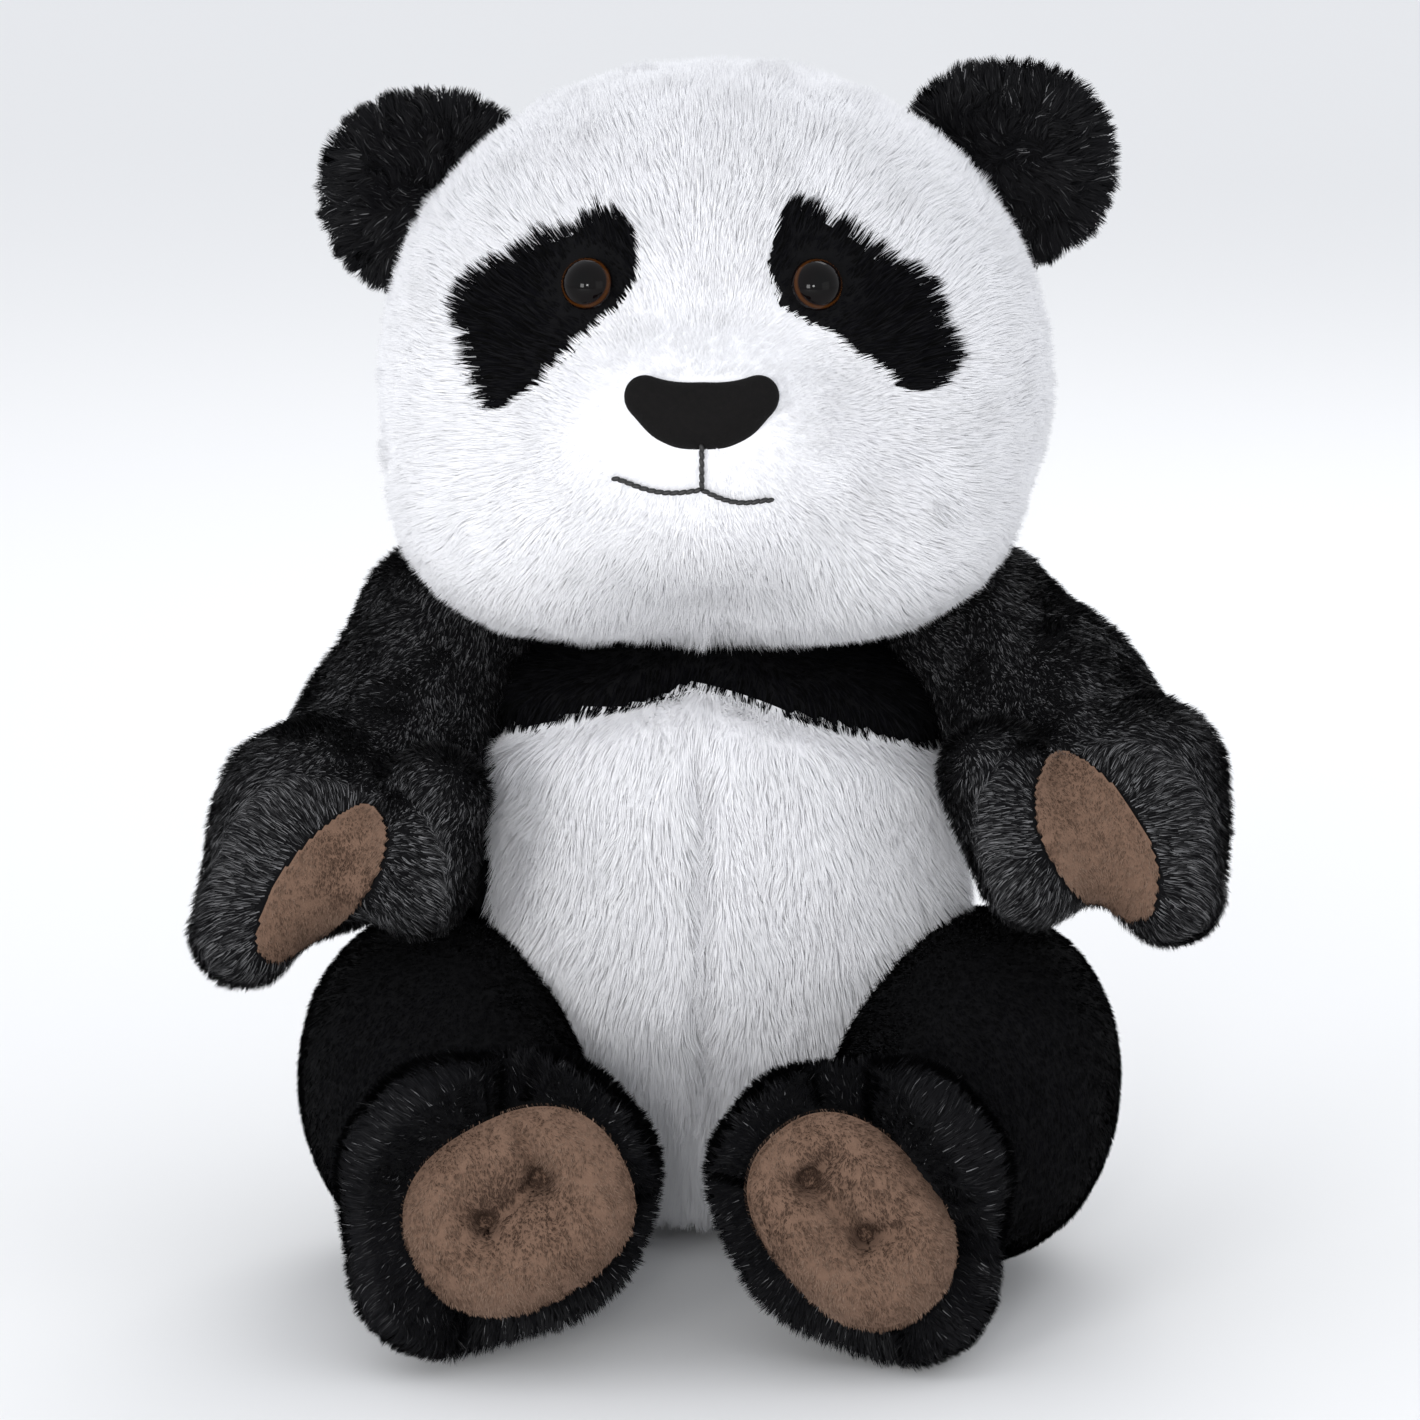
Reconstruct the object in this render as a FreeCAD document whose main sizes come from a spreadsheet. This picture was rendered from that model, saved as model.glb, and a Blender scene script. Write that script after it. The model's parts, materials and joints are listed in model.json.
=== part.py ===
import FreeCAD, Part
import math
import os

from FreeCAD import Placement, Rotation, Vector

# Seated plush panda, millimetres. +Z is up, the face looks along -Y, +X is the toy's own left.
# The origin is on the table, under the middle of the toy's bounding box.
# Every soft part is a stuffing core inside sewn fabric panels. A panel's thickness is its backing and pile.

SIZES = {
    "cover": 3.0,             # pile fabric, backing and flattened pile together
    "play": 0.4,              # room between two parts that move against each other
    "torso_wide": 52.0,       # half widths and half depths of the egg-shaped trunk
    "torso_deep": 46.0,
    "torso_up": 112.0,        # from the widest level up, and down
    "torso_down": 60.0,
    "torso_y": 37.0,
    "torso_z": 52.0,
    "torso_top": 124.0,       # the neck opening is gathered at this height
    "seat_height": 12.0,      # the seat panel's edge
    "side_seam_y": 30.0,
    "yoke_radius": 90.0,      # arched seam between the white belly and the black chest
    "yoke_top": 117.0,
    "neck_y": 31.0,
    "neck_z": 128.0,
    "neck_radius": 24.0,
    "head_wide": 64.5,
    "head_deep": 56.0,
    "head_up": 68.0,
    "head_down": 44.0,
    "head_y": 19.0,
    "head_z": 176.0,
    "head_seam_y": 45.0,      # seam between the face and the back of the head
    "forehead_half": 26.0,
    "forehead_bottom": 188.0,
    "muzzle_wide": 33.0,
    "muzzle_deep": 25.0,
    "muzzle_high": 24.0,
    "muzzle_y": -25.0,
    "muzzle_z": 178.0,
    "muzzle_edge": 25.0,      # half height of the muzzle panel's outline
    "muzzle_stretch": 1.3,    # its half width over its half height
    "patch_x": 33.0,          # eye patch: an egg-shaped outline, wide end up and in
    "patch_z": 205.0,
    "patch_length": 22.0,
    "patch_inner_radius": 12.0,
    "patch_outer_radius": 14.5,
    "patch_angle": 47.0,
    "face_x": -1.6,           # eyes, nose and mouth are sewn on a little to one side
    "eye_x": 22.5,            # half the distance between the eyes
    "eye_z": 208.0,
    "eye_radius": 5.2,
    "eye_height": 4.0,
    "eye_yaw": 16.0,
    "eye_pitch": 18.0,
    "stem_radius": 1.6,
    "stem_length": 11.0,
    "washer_radius": 6.5,
    "washer_thickness": 1.2,
    "washer_depth": 6.0,
    "nose_wide": 15.0,        # half width across the top corners
    "nose_high": 15.0,
    "nose_corner": 4.5,
    "nose_tip": 7.5,
    "nose_z": 180.5,          # the nose's lower tip
    "nose_proud": 2.2,        # how far it stands out of the muzzle
    "mouth_radius": 19.0,
    "mouth_half": 17.0,
    "thread_wide": 1.8,
    "thread_proud": 0.8,
    "lip_z": 171.5,
    "ear_x": 60.0,
    "ear_y": 50.0,
    "ear_z_left": 220.0,
    "ear_z_right": 214.0,
    "ear_radius": 21.0,
    "ear_half_thick": 9.0,
    "ear_hinge_left": 10.9,   # hinge line, from the ear's centre towards the head
    "ear_hinge_right": 8.0,
    "ear_root_radius": 6.4,
    "shoulder_x": 50.0,
    "shoulder_y": 41.0,
    "shoulder_z": 121.0,
    "shoulder_radius": 20.5,
    "sleeve_room": 34.0,      # the trunk is drawn in this far around each shoulder
    "paw_x": 79.0,
    "paw_y": -27.0,
    "paw_z_left": 97.0,
    "paw_z_right": 91.5,
    "paw_radius": 25.0,
    "pad_half_length": 20.5,
    "pad_half_width": 7.8,
    "pad_lean": 38.5,         # the pad's upper end leans in towards the chest
    "hip_x": 34.0,            # the flat hip seam's distance from the middle
    "hip_y": 13.0,
    "hip_z": 38.0,
    "hip_radius": 40.5,
    "lap_y": -12.0,           # in front of this, a thigh may reach in front of the belly
    "thigh_x": 55.0,
    "thigh_y": 1.0,
    "thigh_z": 35.0,
    "thigh_wide": 30.5,
    "thigh_long": 45.0,
    "thigh_high": 36.5,
    "shin_x": 48.0,
    "shin_y": -17.0,
    "shin_z": 33.0,
    "shin_radius": 27.0,
    "foot_x_left": 30.5,
    "foot_x_right": 39.0,
    "foot_y": -66.0,          # middle of the foot's thickness
    "foot_z": 32.0,
    "foot_radius": 30.0,
    "foot_thick": 29.0,
    "foot_edge": 11.0,
    "foot_tilt": 7.0,
    "sole_radius": 22.5,
    "dimple_half": 7.2,       # half the distance between the two stitched dimples
    "dimple_depth": 13.0,
    "dimple_angle": 40.0,
    "link_radius": 0.72,      # the thread's buried run between the two dimples
    "link_rise": 1.35,        # how far it lies above the bottom of the dimples
}

doc = FreeCAD.newDocument("plush_panda")
sheet = doc.addObject("Spreadsheet::Sheet", "sizes")
for row, (alias, value) in enumerate(SIZES.items(), start=1):
    sheet.set(f"A{row}", alias)
    sheet.set(f"B{row}", str(value))
    sheet.setAlias(f"B{row}", alias)
doc.recompute()

FAR = 400.0   # a side long enough to pass right through the toy
nodes = []


def size(alias):
    """A driving dimension's value."""
    return float(sheet.get(alias))


def bind(item, **formulas):
    """Ties an object's properties to the sheet. A formula names aliases in words."""
    for prop, formula in formulas.items():
        words = formula.split(" ")
        linked = ["sizes." + w if w in SIZES else w for w in words]
        item.setExpression(prop.replace("__", "."), " ".join(linked))
    return item


def node(item, name):
    """Marks an object as a sub-part."""
    item.Label = name
    nodes.append(item)
    return item


def put(item, x=None, y=None, z=None):
    """Ties an object's place to the sheet."""
    for axis, formula in (("x", x), ("y", y), ("z", z)):
        if formula is not None:
            bind(item, **{"Placement__Base__" + axis: formula})
    return item


# ---- solids that everything is cut from ----

def ellipsoid(name, wide, deep, high, low_angle=-90, top_angle=90):
    """An ellipsoid, or a slice of one between two latitudes. The half axes are formulas."""
    item = doc.addObject("Part::Ellipsoid", name)
    item.Angle1 = low_angle
    item.Angle2 = top_angle
    return bind(item, Radius1=high, Radius2=wide, Radius3=deep)


def sphere(name, radius):
    return bind(doc.addObject("Part::Sphere", name), Radius=radius)


def box(name, x_range, y_range, z_range):
    """A box between fixed limits, given as numbers in millimetres."""
    item = doc.addObject("Part::Box", name)
    item.Length = x_range[1] - x_range[0]
    item.Width = y_range[1] - y_range[0]
    item.Height = z_range[1] - z_range[0]
    item.Placement = Placement(Vector(x_range[0], y_range[0], z_range[0]), Rotation())
    return item


def cylinder(name, radius, length, direction, start):
    """A cylinder along a direction; radius is a formula, length and start are numbers."""
    item = doc.addObject("Part::Cylinder", name)
    item.Height = length
    turn = Rotation(Vector(0, 0, 1), direction)
    item.Placement = Placement(start, turn)
    return bind(item, Radius=radius)


def cut(name, base, *tools):
    for i, tool in enumerate(tools):
        item = doc.addObject("Part::Cut", f"{name}_{i}" if i + 1 < len(tools) else name)
        item.Base = base
        item.Tool = tool
        base = item
    return base


def common(name, base, *tools):
    for i, tool in enumerate(tools):
        item = doc.addObject("Part::Common", f"{name}_{i}" if i + 1 < len(tools) else name)
        item.Base = base
        item.Tool = tool
        base = item
    return base


def fuse(name, *pieces):
    item = doc.addObject("Part::MultiFuse", name)
    item.Shapes = list(pieces)
    return item


def egg(name, wide, deep, up, down, place):
    """An egg: two half ellipsoids that meet at the widest level."""
    top = put(ellipsoid(name + "_top", wide, deep, up, low_angle=0), *place)
    bottom = put(ellipsoid(name + "_bottom", wide, deep, down, top_angle=0), *place)
    return fuse(name, top, bottom)


# ---- sketched bodies ----

def origin_plane(body, role):
    """One of a body's own three planes."""
    return next(f for f in body.Origin.OriginFeatures if f.Role == role)


def new_body(name, role):
    """A body with an empty sketch on one of its origin planes."""
    body = doc.addObject("PartDesign::Body", name)
    sketch = body.newObject("Sketcher::SketchObject", name + "_sketch")
    sketch.AttachmentSupport = [(origin_plane(body, role), "")]
    sketch.MapMode = "FlatFace"
    return body, sketch


def line(a, b):
    return Part.LineSegment(Vector(a[0], a[1], 0), Vector(b[0], b[1], 0))


def arc(centre, radius, start, end):
    """A counter-clockwise arc, angles in degrees."""
    circle = Part.Circle(Vector(centre[0], centre[1], 0), Vector(0, 0, 1), radius)
    return Part.ArcOfCircle(circle, math.radians(start), math.radians(end))


def revolve(body, sketch):
    """Turns a half profile once round the sketch's upright axis."""
    feature = body.newObject("PartDesign::Revolution", body.Name + "_revolve")
    feature.Profile = sketch
    feature.ReferenceAxis = (sketch, ["V_Axis"])
    feature.Angle = 360
    return body


def pad(body, sketch, length):
    """Thickens a sketch evenly to both sides of its plane."""
    feature = body.newObject("PartDesign::Pad", body.Name + "_pad")
    feature.Profile = sketch
    feature.Length = length
    feature.Midplane = True
    return body


def capsule(name, length, near, far, place):
    """A tapered capsule: balls of two radii joined by their common cone, along the body's own Z."""
    body, sketch = new_body(name, "XZ_Plane")
    lean = math.degrees(math.asin((near - far) / length))
    tangent = Vector(math.cos(math.radians(lean)), math.sin(math.radians(lean)), 0)
    low = (near * tangent.x, near * tangent.y)
    high = (far * tangent.x, length + far * tangent.y)
    sketch.addGeometry([
        arc((0, 0), near, -90, lean),
        line(low, high),
        arc((0, length), far, lean, 90),
        line((0, length + far), (0, -near)),
    ])
    revolve(body, sketch)
    body.Placement = place
    return body


def aim(start, end):
    """The placement that carries +Z from the start towards the end."""
    return Placement(start, Rotation(Vector(0, 0, 1), end - start))


SIDES = (("left", 1.0), ("right", -1.0))


# ---- trunk ----

def shoulder(side):
    """The middle of a sleeve's round root, where the arm is hinged."""
    return Vector(side * size("shoulder_x"), size("shoulder_y"), size("shoulder_z"))


def paw(tag):
    """The middle of a paw, the far end of its arm."""
    side = 1.0 if tag == "left" else -1.0
    return Vector(side * size("paw_x"), size("paw_y"), size("paw_z_" + tag))


def hip_cutter(name, x_start, radius, side):
    """The round recess that a thigh turns in: a drum along X, outside the hip seam."""
    start = Vector(side * x_start, size("hip_y"), size("hip_z"))
    return cylinder(name, radius, FAR, Vector(side, 0, 0), start)


def shoulder_room(name, tag, side, deep):
    """The room that a sleeve swings in: its round root, then the cone that its inner side sweeps."""
    arm = paw(tag) - shoulder(side)
    splay = math.asin(abs(arm.x) / arm.Length)
    widening = math.asin((size("paw_radius") - size("shoulder_radius")) / arm.Length)
    lean = splay - widening
    radius = size("shoulder_radius") + size("play") + deep
    reach = size("sleeve_room") + deep
    body, sketch = new_body(name, "XZ_Plane")
    tangent = (radius * math.sin(lean), -radius * math.cos(lean))
    rim = (reach, reach * math.tan(lean) - radius / math.cos(lean))
    sketch.addGeometry([
        arc((0, 0), radius, -90, -90 + math.degrees(lean)),
        line(tangent, rim),
        line(rim, (reach, FAR)),
        line((reach, FAR), (0, FAR)),
        line((0, FAR), (0, -radius)),
    ])
    revolve(body, sketch)
    body.Placement = Placement(shoulder(side), Rotation(Vector(0, 0, 1), Vector(side, 0, 0)))
    return body


def trunk_form(name, inset):
    """The trunk's outer form, or its stuffing, which lies one cover deeper."""
    less = f" - {inset} * cover"
    deep = inset * size("cover")
    place = ("0", "torso_y", "torso_z")
    whole = egg(name + "_egg", "torso_wide" + less, "torso_deep" + less, "torso_up" + less,
                "torso_down" + less, place)
    level = box(name + "_level", (-FAR, FAR), (-FAR, FAR), (deep, size("torso_top") - deep))
    tools = [put(sphere(name + "_neck", f"neck_radius + play + {inset} * cover"), "0", "neck_y", "neck_z")]
    for tag, side in SIDES:
        tools.append(shoulder_room(f"{name}_shoulder_{tag}", tag, side, deep))
        tools.append(hip_cutter(f"{name}_hip_{tag}", size("hip_x") - deep,
                                f"hip_radius + {inset} * cover", side))
    return cut(name, common(name + "_flat", whole, level), *tools)


def make_trunk():
    """The trunk's filling and its seven panels."""
    outer = trunk_form("trunk_outer", 0)
    core = trunk_form("trunk_core", 1)
    node(core, "torso_stuffing")
    cover = cut("trunk_cover", outer, core)
    seat_height = size("seat_height")
    seam_y = size("side_seam_y")
    below = box("seat_zone", (-FAR, FAR), (-FAR, FAR), (-FAR, seat_height))
    above = box("above_seat", (-FAR, FAR), (-FAR, FAR), (seat_height, FAR))
    front = box("front_zone", (-FAR, FAR), (-FAR, seam_y), (-FAR, FAR))
    back = box("back_zone", (-FAR, FAR), (seam_y, FAR), (-FAR, FAR))
    node(common("seat", cover, below), "seat_panel")
    upper = common("trunk_upper", cover, above)
    front_cover = common("trunk_front", upper, front)
    back_cover = common("trunk_back", upper, back)
    arch = cylinder("yoke_arch", "yoke_radius", 2 * FAR, Vector(0, -1, 0),
                    Vector(0, FAR, size("yoke_top") - size("yoke_radius")))
    gathering = put(sphere("yoke_neck", "neck_radius + play + cover"), "0", "neck_y", "neck_z")
    white = cut("yoke_white", arch, gathering)
    node(cut("yoke", front_cover, white), "chest_yoke")
    belly = common("belly", front_cover, white)
    for tag, side in SIDES:
        half = box("half_" + tag, sorted((0, side * FAR)), (-FAR, FAR), (-FAR, FAR))
        node(common("belly_" + tag, belly, half), "belly_panel_" + tag)
        node(common("back_" + tag, back_cover, half), "back_panel_" + tag)


def make_neck():
    """The ball of filling that the head turns and nods on."""
    ball = put(sphere("neck_ball", "neck_radius"), "0", "neck_y", "neck_z")
    node(ball, "neck_stuffing")


# ---- head ----

def head_form(name, inset):
    """The skull and the muzzle together, hollowed for the neck."""
    less = f" - {inset} * cover"
    skull = egg(name + "_egg", "head_wide" + less, "head_deep" + less, "head_up" + less,
                "head_down" + less, ("0", "head_y", "head_z"))
    snout = ellipsoid(name + "_snout", "muzzle_wide" + less, "muzzle_deep" + less, "muzzle_high" + less)
    put(snout, "0", "muzzle_y", "muzzle_z")
    socket = put(sphere(name + "_neck", f"neck_radius + play + {inset} * cover"), "0", "neck_y", "neck_z")
    return cut(name, fuse(name + "_whole", skull, snout), socket)


def eye_place(side):
    """Where an eye's base meets the face, its own +Z pointing out of the face."""
    x, z = side * size("eye_x") + size("face_x"), size("eye_z")
    rise = (z - size("head_z")) / size("head_up")
    across = x / size("head_wide")
    y = size("head_y") - size("head_deep") * math.sqrt(1 - rise * rise - across * across)
    yaw = Rotation(Vector(0, 0, 1), side * size("eye_yaw"))
    out = Rotation(Vector(1, 0, 0), 90 - size("eye_pitch"))
    return Placement(Vector(x, y, z), yaw * out)


def make_eye(tag, side):
    """A safety eye: a glossy dome on a stem, one turned piece."""
    body, sketch = new_body("eye_" + tag, "XZ_Plane")
    radius, height = size("eye_radius"), size("eye_height")
    ball = (radius * radius + height * height) / (2 * height)
    edge = math.degrees(math.asin((ball - height) / ball))
    stem, length = size("stem_radius"), size("stem_length")
    sketch.addGeometry([
        arc((0, height - ball), ball, edge, 90),
        line((0, height), (0, -length)),
        line((0, -length), (stem, -length)),
        line((stem, -length), (stem, 0)),
        line((stem, 0), (radius, 0)),
    ])
    revolve(body, sketch)
    body.Placement = eye_place(side)
    return node(body, "eye_" + tag)


def make_washer(tag, side):
    """The locking washer, pushed up the stem inside the head."""
    disc = bind(doc.addObject("Part::Cylinder", "washer_disc_" + tag),
                Radius="washer_radius", Height="washer_thickness")
    hole = bind(doc.addObject("Part::Cylinder", "washer_hole_" + tag),
                Radius="stem_radius", Height="stem_length")
    inner = eye_place(side).multiply(Placement(Vector(0, 0, -size("washer_depth")), Rotation()))
    disc.Placement = inner
    hole.Placement = inner.multiply(Placement(Vector(0, 0, -size("washer_thickness")), Rotation()))
    return node(cut("washer_" + tag, disc, hole), "eye_washer_" + tag)


def patch_prism(tag, side):
    """The eye patch's outline, drawn out along Y through the front of the face."""
    body, sketch = new_body("patch_outline_" + tag, "XZ_Plane")
    inner, outer, reach = size("patch_inner_radius"), size("patch_outer_radius"), size("patch_length")
    lean = math.degrees(math.acos((inner - outer) / reach))
    x, z = side * size("patch_x") + size("face_x"), size("patch_z")
    # the inner, upper end lies against the bridge and the outer, lower one on the cheek
    step = Vector(side * math.cos(math.radians(size("patch_angle"))),
                  -math.sin(math.radians(size("patch_angle"))), 0) * (reach / 2)
    high, low = Vector(x, z, 0) - step, Vector(x, z, 0) + step
    base = math.degrees(math.atan2(step.y, step.x))
    first, last = base + lean, base - lean
    rim = [Vector(math.cos(math.radians(a)), math.sin(math.radians(a)), 0) for a in (first, last)]
    sketch.addGeometry([
        arc((high.x, high.y), inner, first, last + 360),
        line(high + rim[1] * inner, low + rim[1] * outer),
        arc((low.x, low.y), outer, last, first),
        line(low + rim[0] * outer, high + rim[0] * inner),
    ])
    pad(body, sketch, FAR)
    front = box("patch_front_" + tag, (-FAR, FAR), (-FAR, size("head_y")), (-FAR, FAR))
    return common("patch_prism_" + tag, body, front)


def make_nose(outer):
    """A padded nose: a rounded triangle standing out of the muzzle."""
    body, sketch = new_body("nose_outline", "XZ_Plane")
    corner, tip = size("nose_corner"), size("nose_tip")
    high, wide = size("nose_high"), size("nose_wide")
    a = Vector(-(wide - corner), high - corner, 0)
    b = Vector(wide - corner, high - corner, 0)
    c = Vector(0, tip, 0)
    side = b - c
    lean = math.degrees(math.acos((tip - corner) / side.Length))
    slope = math.degrees(math.atan2(side.y, side.x)) - lean
    out = Vector(math.cos(math.radians(slope)), math.sin(math.radians(slope)), 0)
    back = Vector(-out.x, out.y, 0)
    sketch.addGeometry([
        arc((a.x, a.y), corner, 90, 180 - slope),
        line(a + back * corner, c + back * tip),
        arc((c.x, c.y), tip, 180 - slope, 360 + slope),
        line(c + out * tip, b + out * corner),
        arc((b.x, b.y), corner, slope, 90),
        line((b.x, high), (a.x, high)),
    ])
    pad(body, sketch, FAR)
    body.Placement = Placement(Vector(size("face_x"), size("muzzle_y"), size("nose_z")), Rotation())
    front = box("nose_front", (-FAR, FAR), (-FAR, size("muzzle_y")), (-FAR, FAR))
    swell = ellipsoid("nose_swell", "muzzle_wide + nose_proud", "muzzle_deep + nose_proud",
                      "muzzle_high + nose_proud")
    put(swell, "0", "muzzle_y", "muzzle_z")
    node(cut("nose", common("nose_block", body, front, swell), outer), "nose")


def make_mouth(outer):
    """The embroidered mouth: one upright stitch and two arcs of thread lying on the muzzle."""
    strokes = []
    half = size("thread_wide") / 2
    front = Vector(0, -1, 0)
    radius, lip = size("mouth_radius"), size("lip_z")
    reach = size("mouth_half") / 2
    sag = math.sqrt(radius * radius - reach * reach)
    for tag, side in SIDES:
        centre = Vector(side * reach + size("face_x"), size("muzzle_y"), lip + sag)
        ring = cut("lip_ring_" + tag,
                   cylinder("lip_outer_" + tag, "mouth_radius + thread_wide / 2", FAR, front, centre),
                   cylinder("lip_inner_" + tag, "mouth_radius - thread_wide / 2", FAR, front, centre))
        span = sorted((size("face_x"), side * 2 * reach + size("face_x")))
        low = box("lip_low_" + tag, span, (-FAR, FAR), (0, lip + half))
        strokes.append(common("lip_" + tag, ring, low))
    strokes.append(box("lip_upright", (size("face_x") - half, size("face_x") + half),
                       (-FAR, size("muzzle_y")),
                       (lip - half, size("nose_z") - half)))
    swell = ellipsoid("mouth_swell", "muzzle_wide + thread_proud", "muzzle_deep + thread_proud",
                      "muzzle_high + thread_proud")
    put(swell, "0", "muzzle_y", "muzzle_z")
    lines = common("mouth_strokes", fuse("mouth_lines", *strokes), swell)
    node(cut("mouth", lines, outer), "mouth_stitching")


def make_head():
    """The head's filling, its panels, and everything fixed on the face."""
    outer = head_form("head_outer", 0)
    core = head_form("head_core", 1)
    hardware = []
    for tag, side in SIDES:
        hardware.append(make_eye(tag, side))
        hardware.append(make_washer(tag, side))
    stuffing = cut("head_filling", core, *hardware)
    node(stuffing, "head_stuffing")
    cover = cut("head_cover", cut("head_skin", outer, core), *hardware)

    drum = cylinder("muzzle_drum", "muzzle_edge", FAR, Vector(0, 0, 1), Vector(0, 0, 0))
    oval = doc.addObject("Part::Scale", "muzzle_oval")
    oval.Base = drum
    oval.Uniform = False
    bind(oval, XScale="muzzle_stretch")
    oval.Placement = Placement(Vector(0, size("muzzle_y") + size("muzzle_edge"), size("muzzle_z")),
                               Rotation(Vector(0, 0, 1), Vector(0, -1, 0)))
    node(common("muzzle", cover, oval), "muzzle_panel")
    around = cut("around_muzzle", cover, oval)

    prisms = [patch_prism(tag, side) for tag, side in SIDES]
    for (tag, side), prism in zip(SIDES, prisms):
        node(common("patch_" + tag, around, prism), "eye_patch_" + tag)
    plain = cut("face_and_back", around, *prisms)

    seam = size("head_seam_y")
    back = box("head_back_zone", (-FAR, FAR), (seam, FAR), (-FAR, FAR))
    front = box("head_front_zone", (-FAR, FAR), (-FAR, seam), (-FAR, FAR))
    node(common("head_back", plain, back), "head_back_panel")
    face = common("face", plain, front)
    half = size("forehead_half")
    brow = box("forehead_zone", (-half, half), (-FAR, FAR), (size("forehead_bottom"), FAR))
    node(common("forehead", face, brow), "forehead_panel")
    cheeks = cut("cheeks", face, brow)
    for tag, side in SIDES:
        node(common("cheek_" + tag, cheeks, doc.getObject("half_" + tag)), "cheek_panel_" + tag)
    make_nose(outer)
    make_mouth(outer)


# ---- ears ----

def make_ear(tag, side):
    """A round ear: two fabric discs sewn at the rim round a thin filling, hinged along its root."""
    centre = Vector(side * size("ear_x"), size("ear_y"), size("ear_z_" + tag))
    towards = Vector(0, size("ear_y"), size("head_z")) - centre
    towards.normalize()
    hinge = centre + towards * size("ear_hinge_" + tag)
    along = towards.cross(Vector(0, 1, 0))
    upright = Placement(centre, Rotation(Vector(0, 0, -1), towards))

    def form(name, inset):
        less = f" - {inset} * cover"
        disc = ellipsoid(name + "_disc", "ear_radius" + less, "ear_half_thick" + less, "ear_radius" + less)
        disc.Placement = upright
        root = cylinder(name + "_root", "ear_root_radius" + less, FAR, along, hinge - along * (FAR / 2))
        upper = box(name + "_upper", (-FAR, FAR), (-FAR, FAR), (-size("ear_hinge_" + tag), FAR))
        upper.Placement = upright.multiply(upper.Placement)
        return fuse(name, common(name + "_free", disc, upper), common(name + "_rooted", disc, root))

    outer, core = form("ear_outer_" + tag, 0), form("ear_core_" + tag, 1)
    node(core, "ear_stuffing_" + tag)
    cover = cut("ear_cover_" + tag, outer, core)
    front = box("ear_front_zone_" + tag, (-FAR, FAR), (-FAR, size("ear_y")), (-FAR, FAR))
    node(common("ear_front_piece_" + tag, cover, front), "ear_front_" + tag)
    node(cut("ear_back_piece_" + tag, cover, front), "ear_back_" + tag)


# ---- arms ----

def make_arm(tag, side):
    """A tapered sleeve of two panels round its filling, with a leaf-shaped pad in the palm."""
    start = shoulder(side)
    end = paw(tag)
    place = aim(start, end)
    length = (end - start).Length
    cover = size("cover")
    near, far = size("shoulder_radius"), size("paw_radius")
    outer = capsule("arm_outer_" + tag, length, near, far, place)
    core = capsule("arm_core_" + tag, length, near - cover, far - cover, place)
    node(core, "arm_stuffing_" + tag)
    sleeve = cut("arm_cover_" + tag, outer, core)

    half_length, half_width = size("pad_half_length"), size("pad_half_width")
    bow = (half_length ** 2 + half_width ** 2) / (2 * half_width)
    angle = math.radians(size("pad_lean"))
    lean = Vector(-side * math.sin(angle), 0, math.cos(angle))
    across = lean.cross(Vector(0, 1, 0))
    leaf = []
    for i, way in enumerate((1, -1)):
        disc = doc.addObject("Part::Cylinder", f"pad_arc_{tag}_{i}")
        disc.Radius = bow
        disc.Height = FAR
        middle = end + across * (way * (bow - half_width))
        disc.Placement = Placement(middle, Rotation(Vector(0, 0, 1), Vector(0, -1, 0)))
        leaf.append(disc)
    outline = common("pad_outline_" + tag, *leaf)
    node(common("pad_" + tag, sleeve, outline), "paw_pad_" + tag)
    rest = cut("sleeve_" + tag, sleeve, outline)

    outward = box("sleeve_half_" + tag, (-FAR, FAR), (0, FAR), (-FAR, FAR))
    outward.Placement = place.multiply(outward.Placement)
    node(common("sleeve_a_" + tag, rest, outward), "sleeve_back_" + tag)
    node(cut("sleeve_b_" + tag, rest, outward), "sleeve_palm_" + tag)


# ---- legs ----

def foot_place(tag, side):
    """The foot's middle, its own +Z pointing out of the sole."""
    centre = Vector(side * size("foot_x_" + tag), size("foot_y"), size("foot_z"))
    return Placement(centre, Rotation(Vector(1, 0, 0), 90 - size("foot_tilt")))


def foot_form(name, inset, place):
    """A thick round disc with a rounded edge."""
    body, sketch = new_body(name, "XZ_Plane")
    less = inset * size("cover")
    half = size("foot_thick") / 2 - less
    radius, edge = size("foot_radius") - less, size("foot_edge") - less
    sketch.addGeometry([
        line((0, -half), (radius - edge, -half)),
        arc((radius - edge, -half + edge), edge, -90, 0),
        line((radius, -half + edge), (radius, half - edge)),
        arc((radius - edge, half - edge), edge, 0, 90),
        line((radius - edge, half), (0, half)),
        line((0, half), (0, -half)),
    ])
    revolve(body, sketch)
    body.Placement = place
    return body


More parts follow.
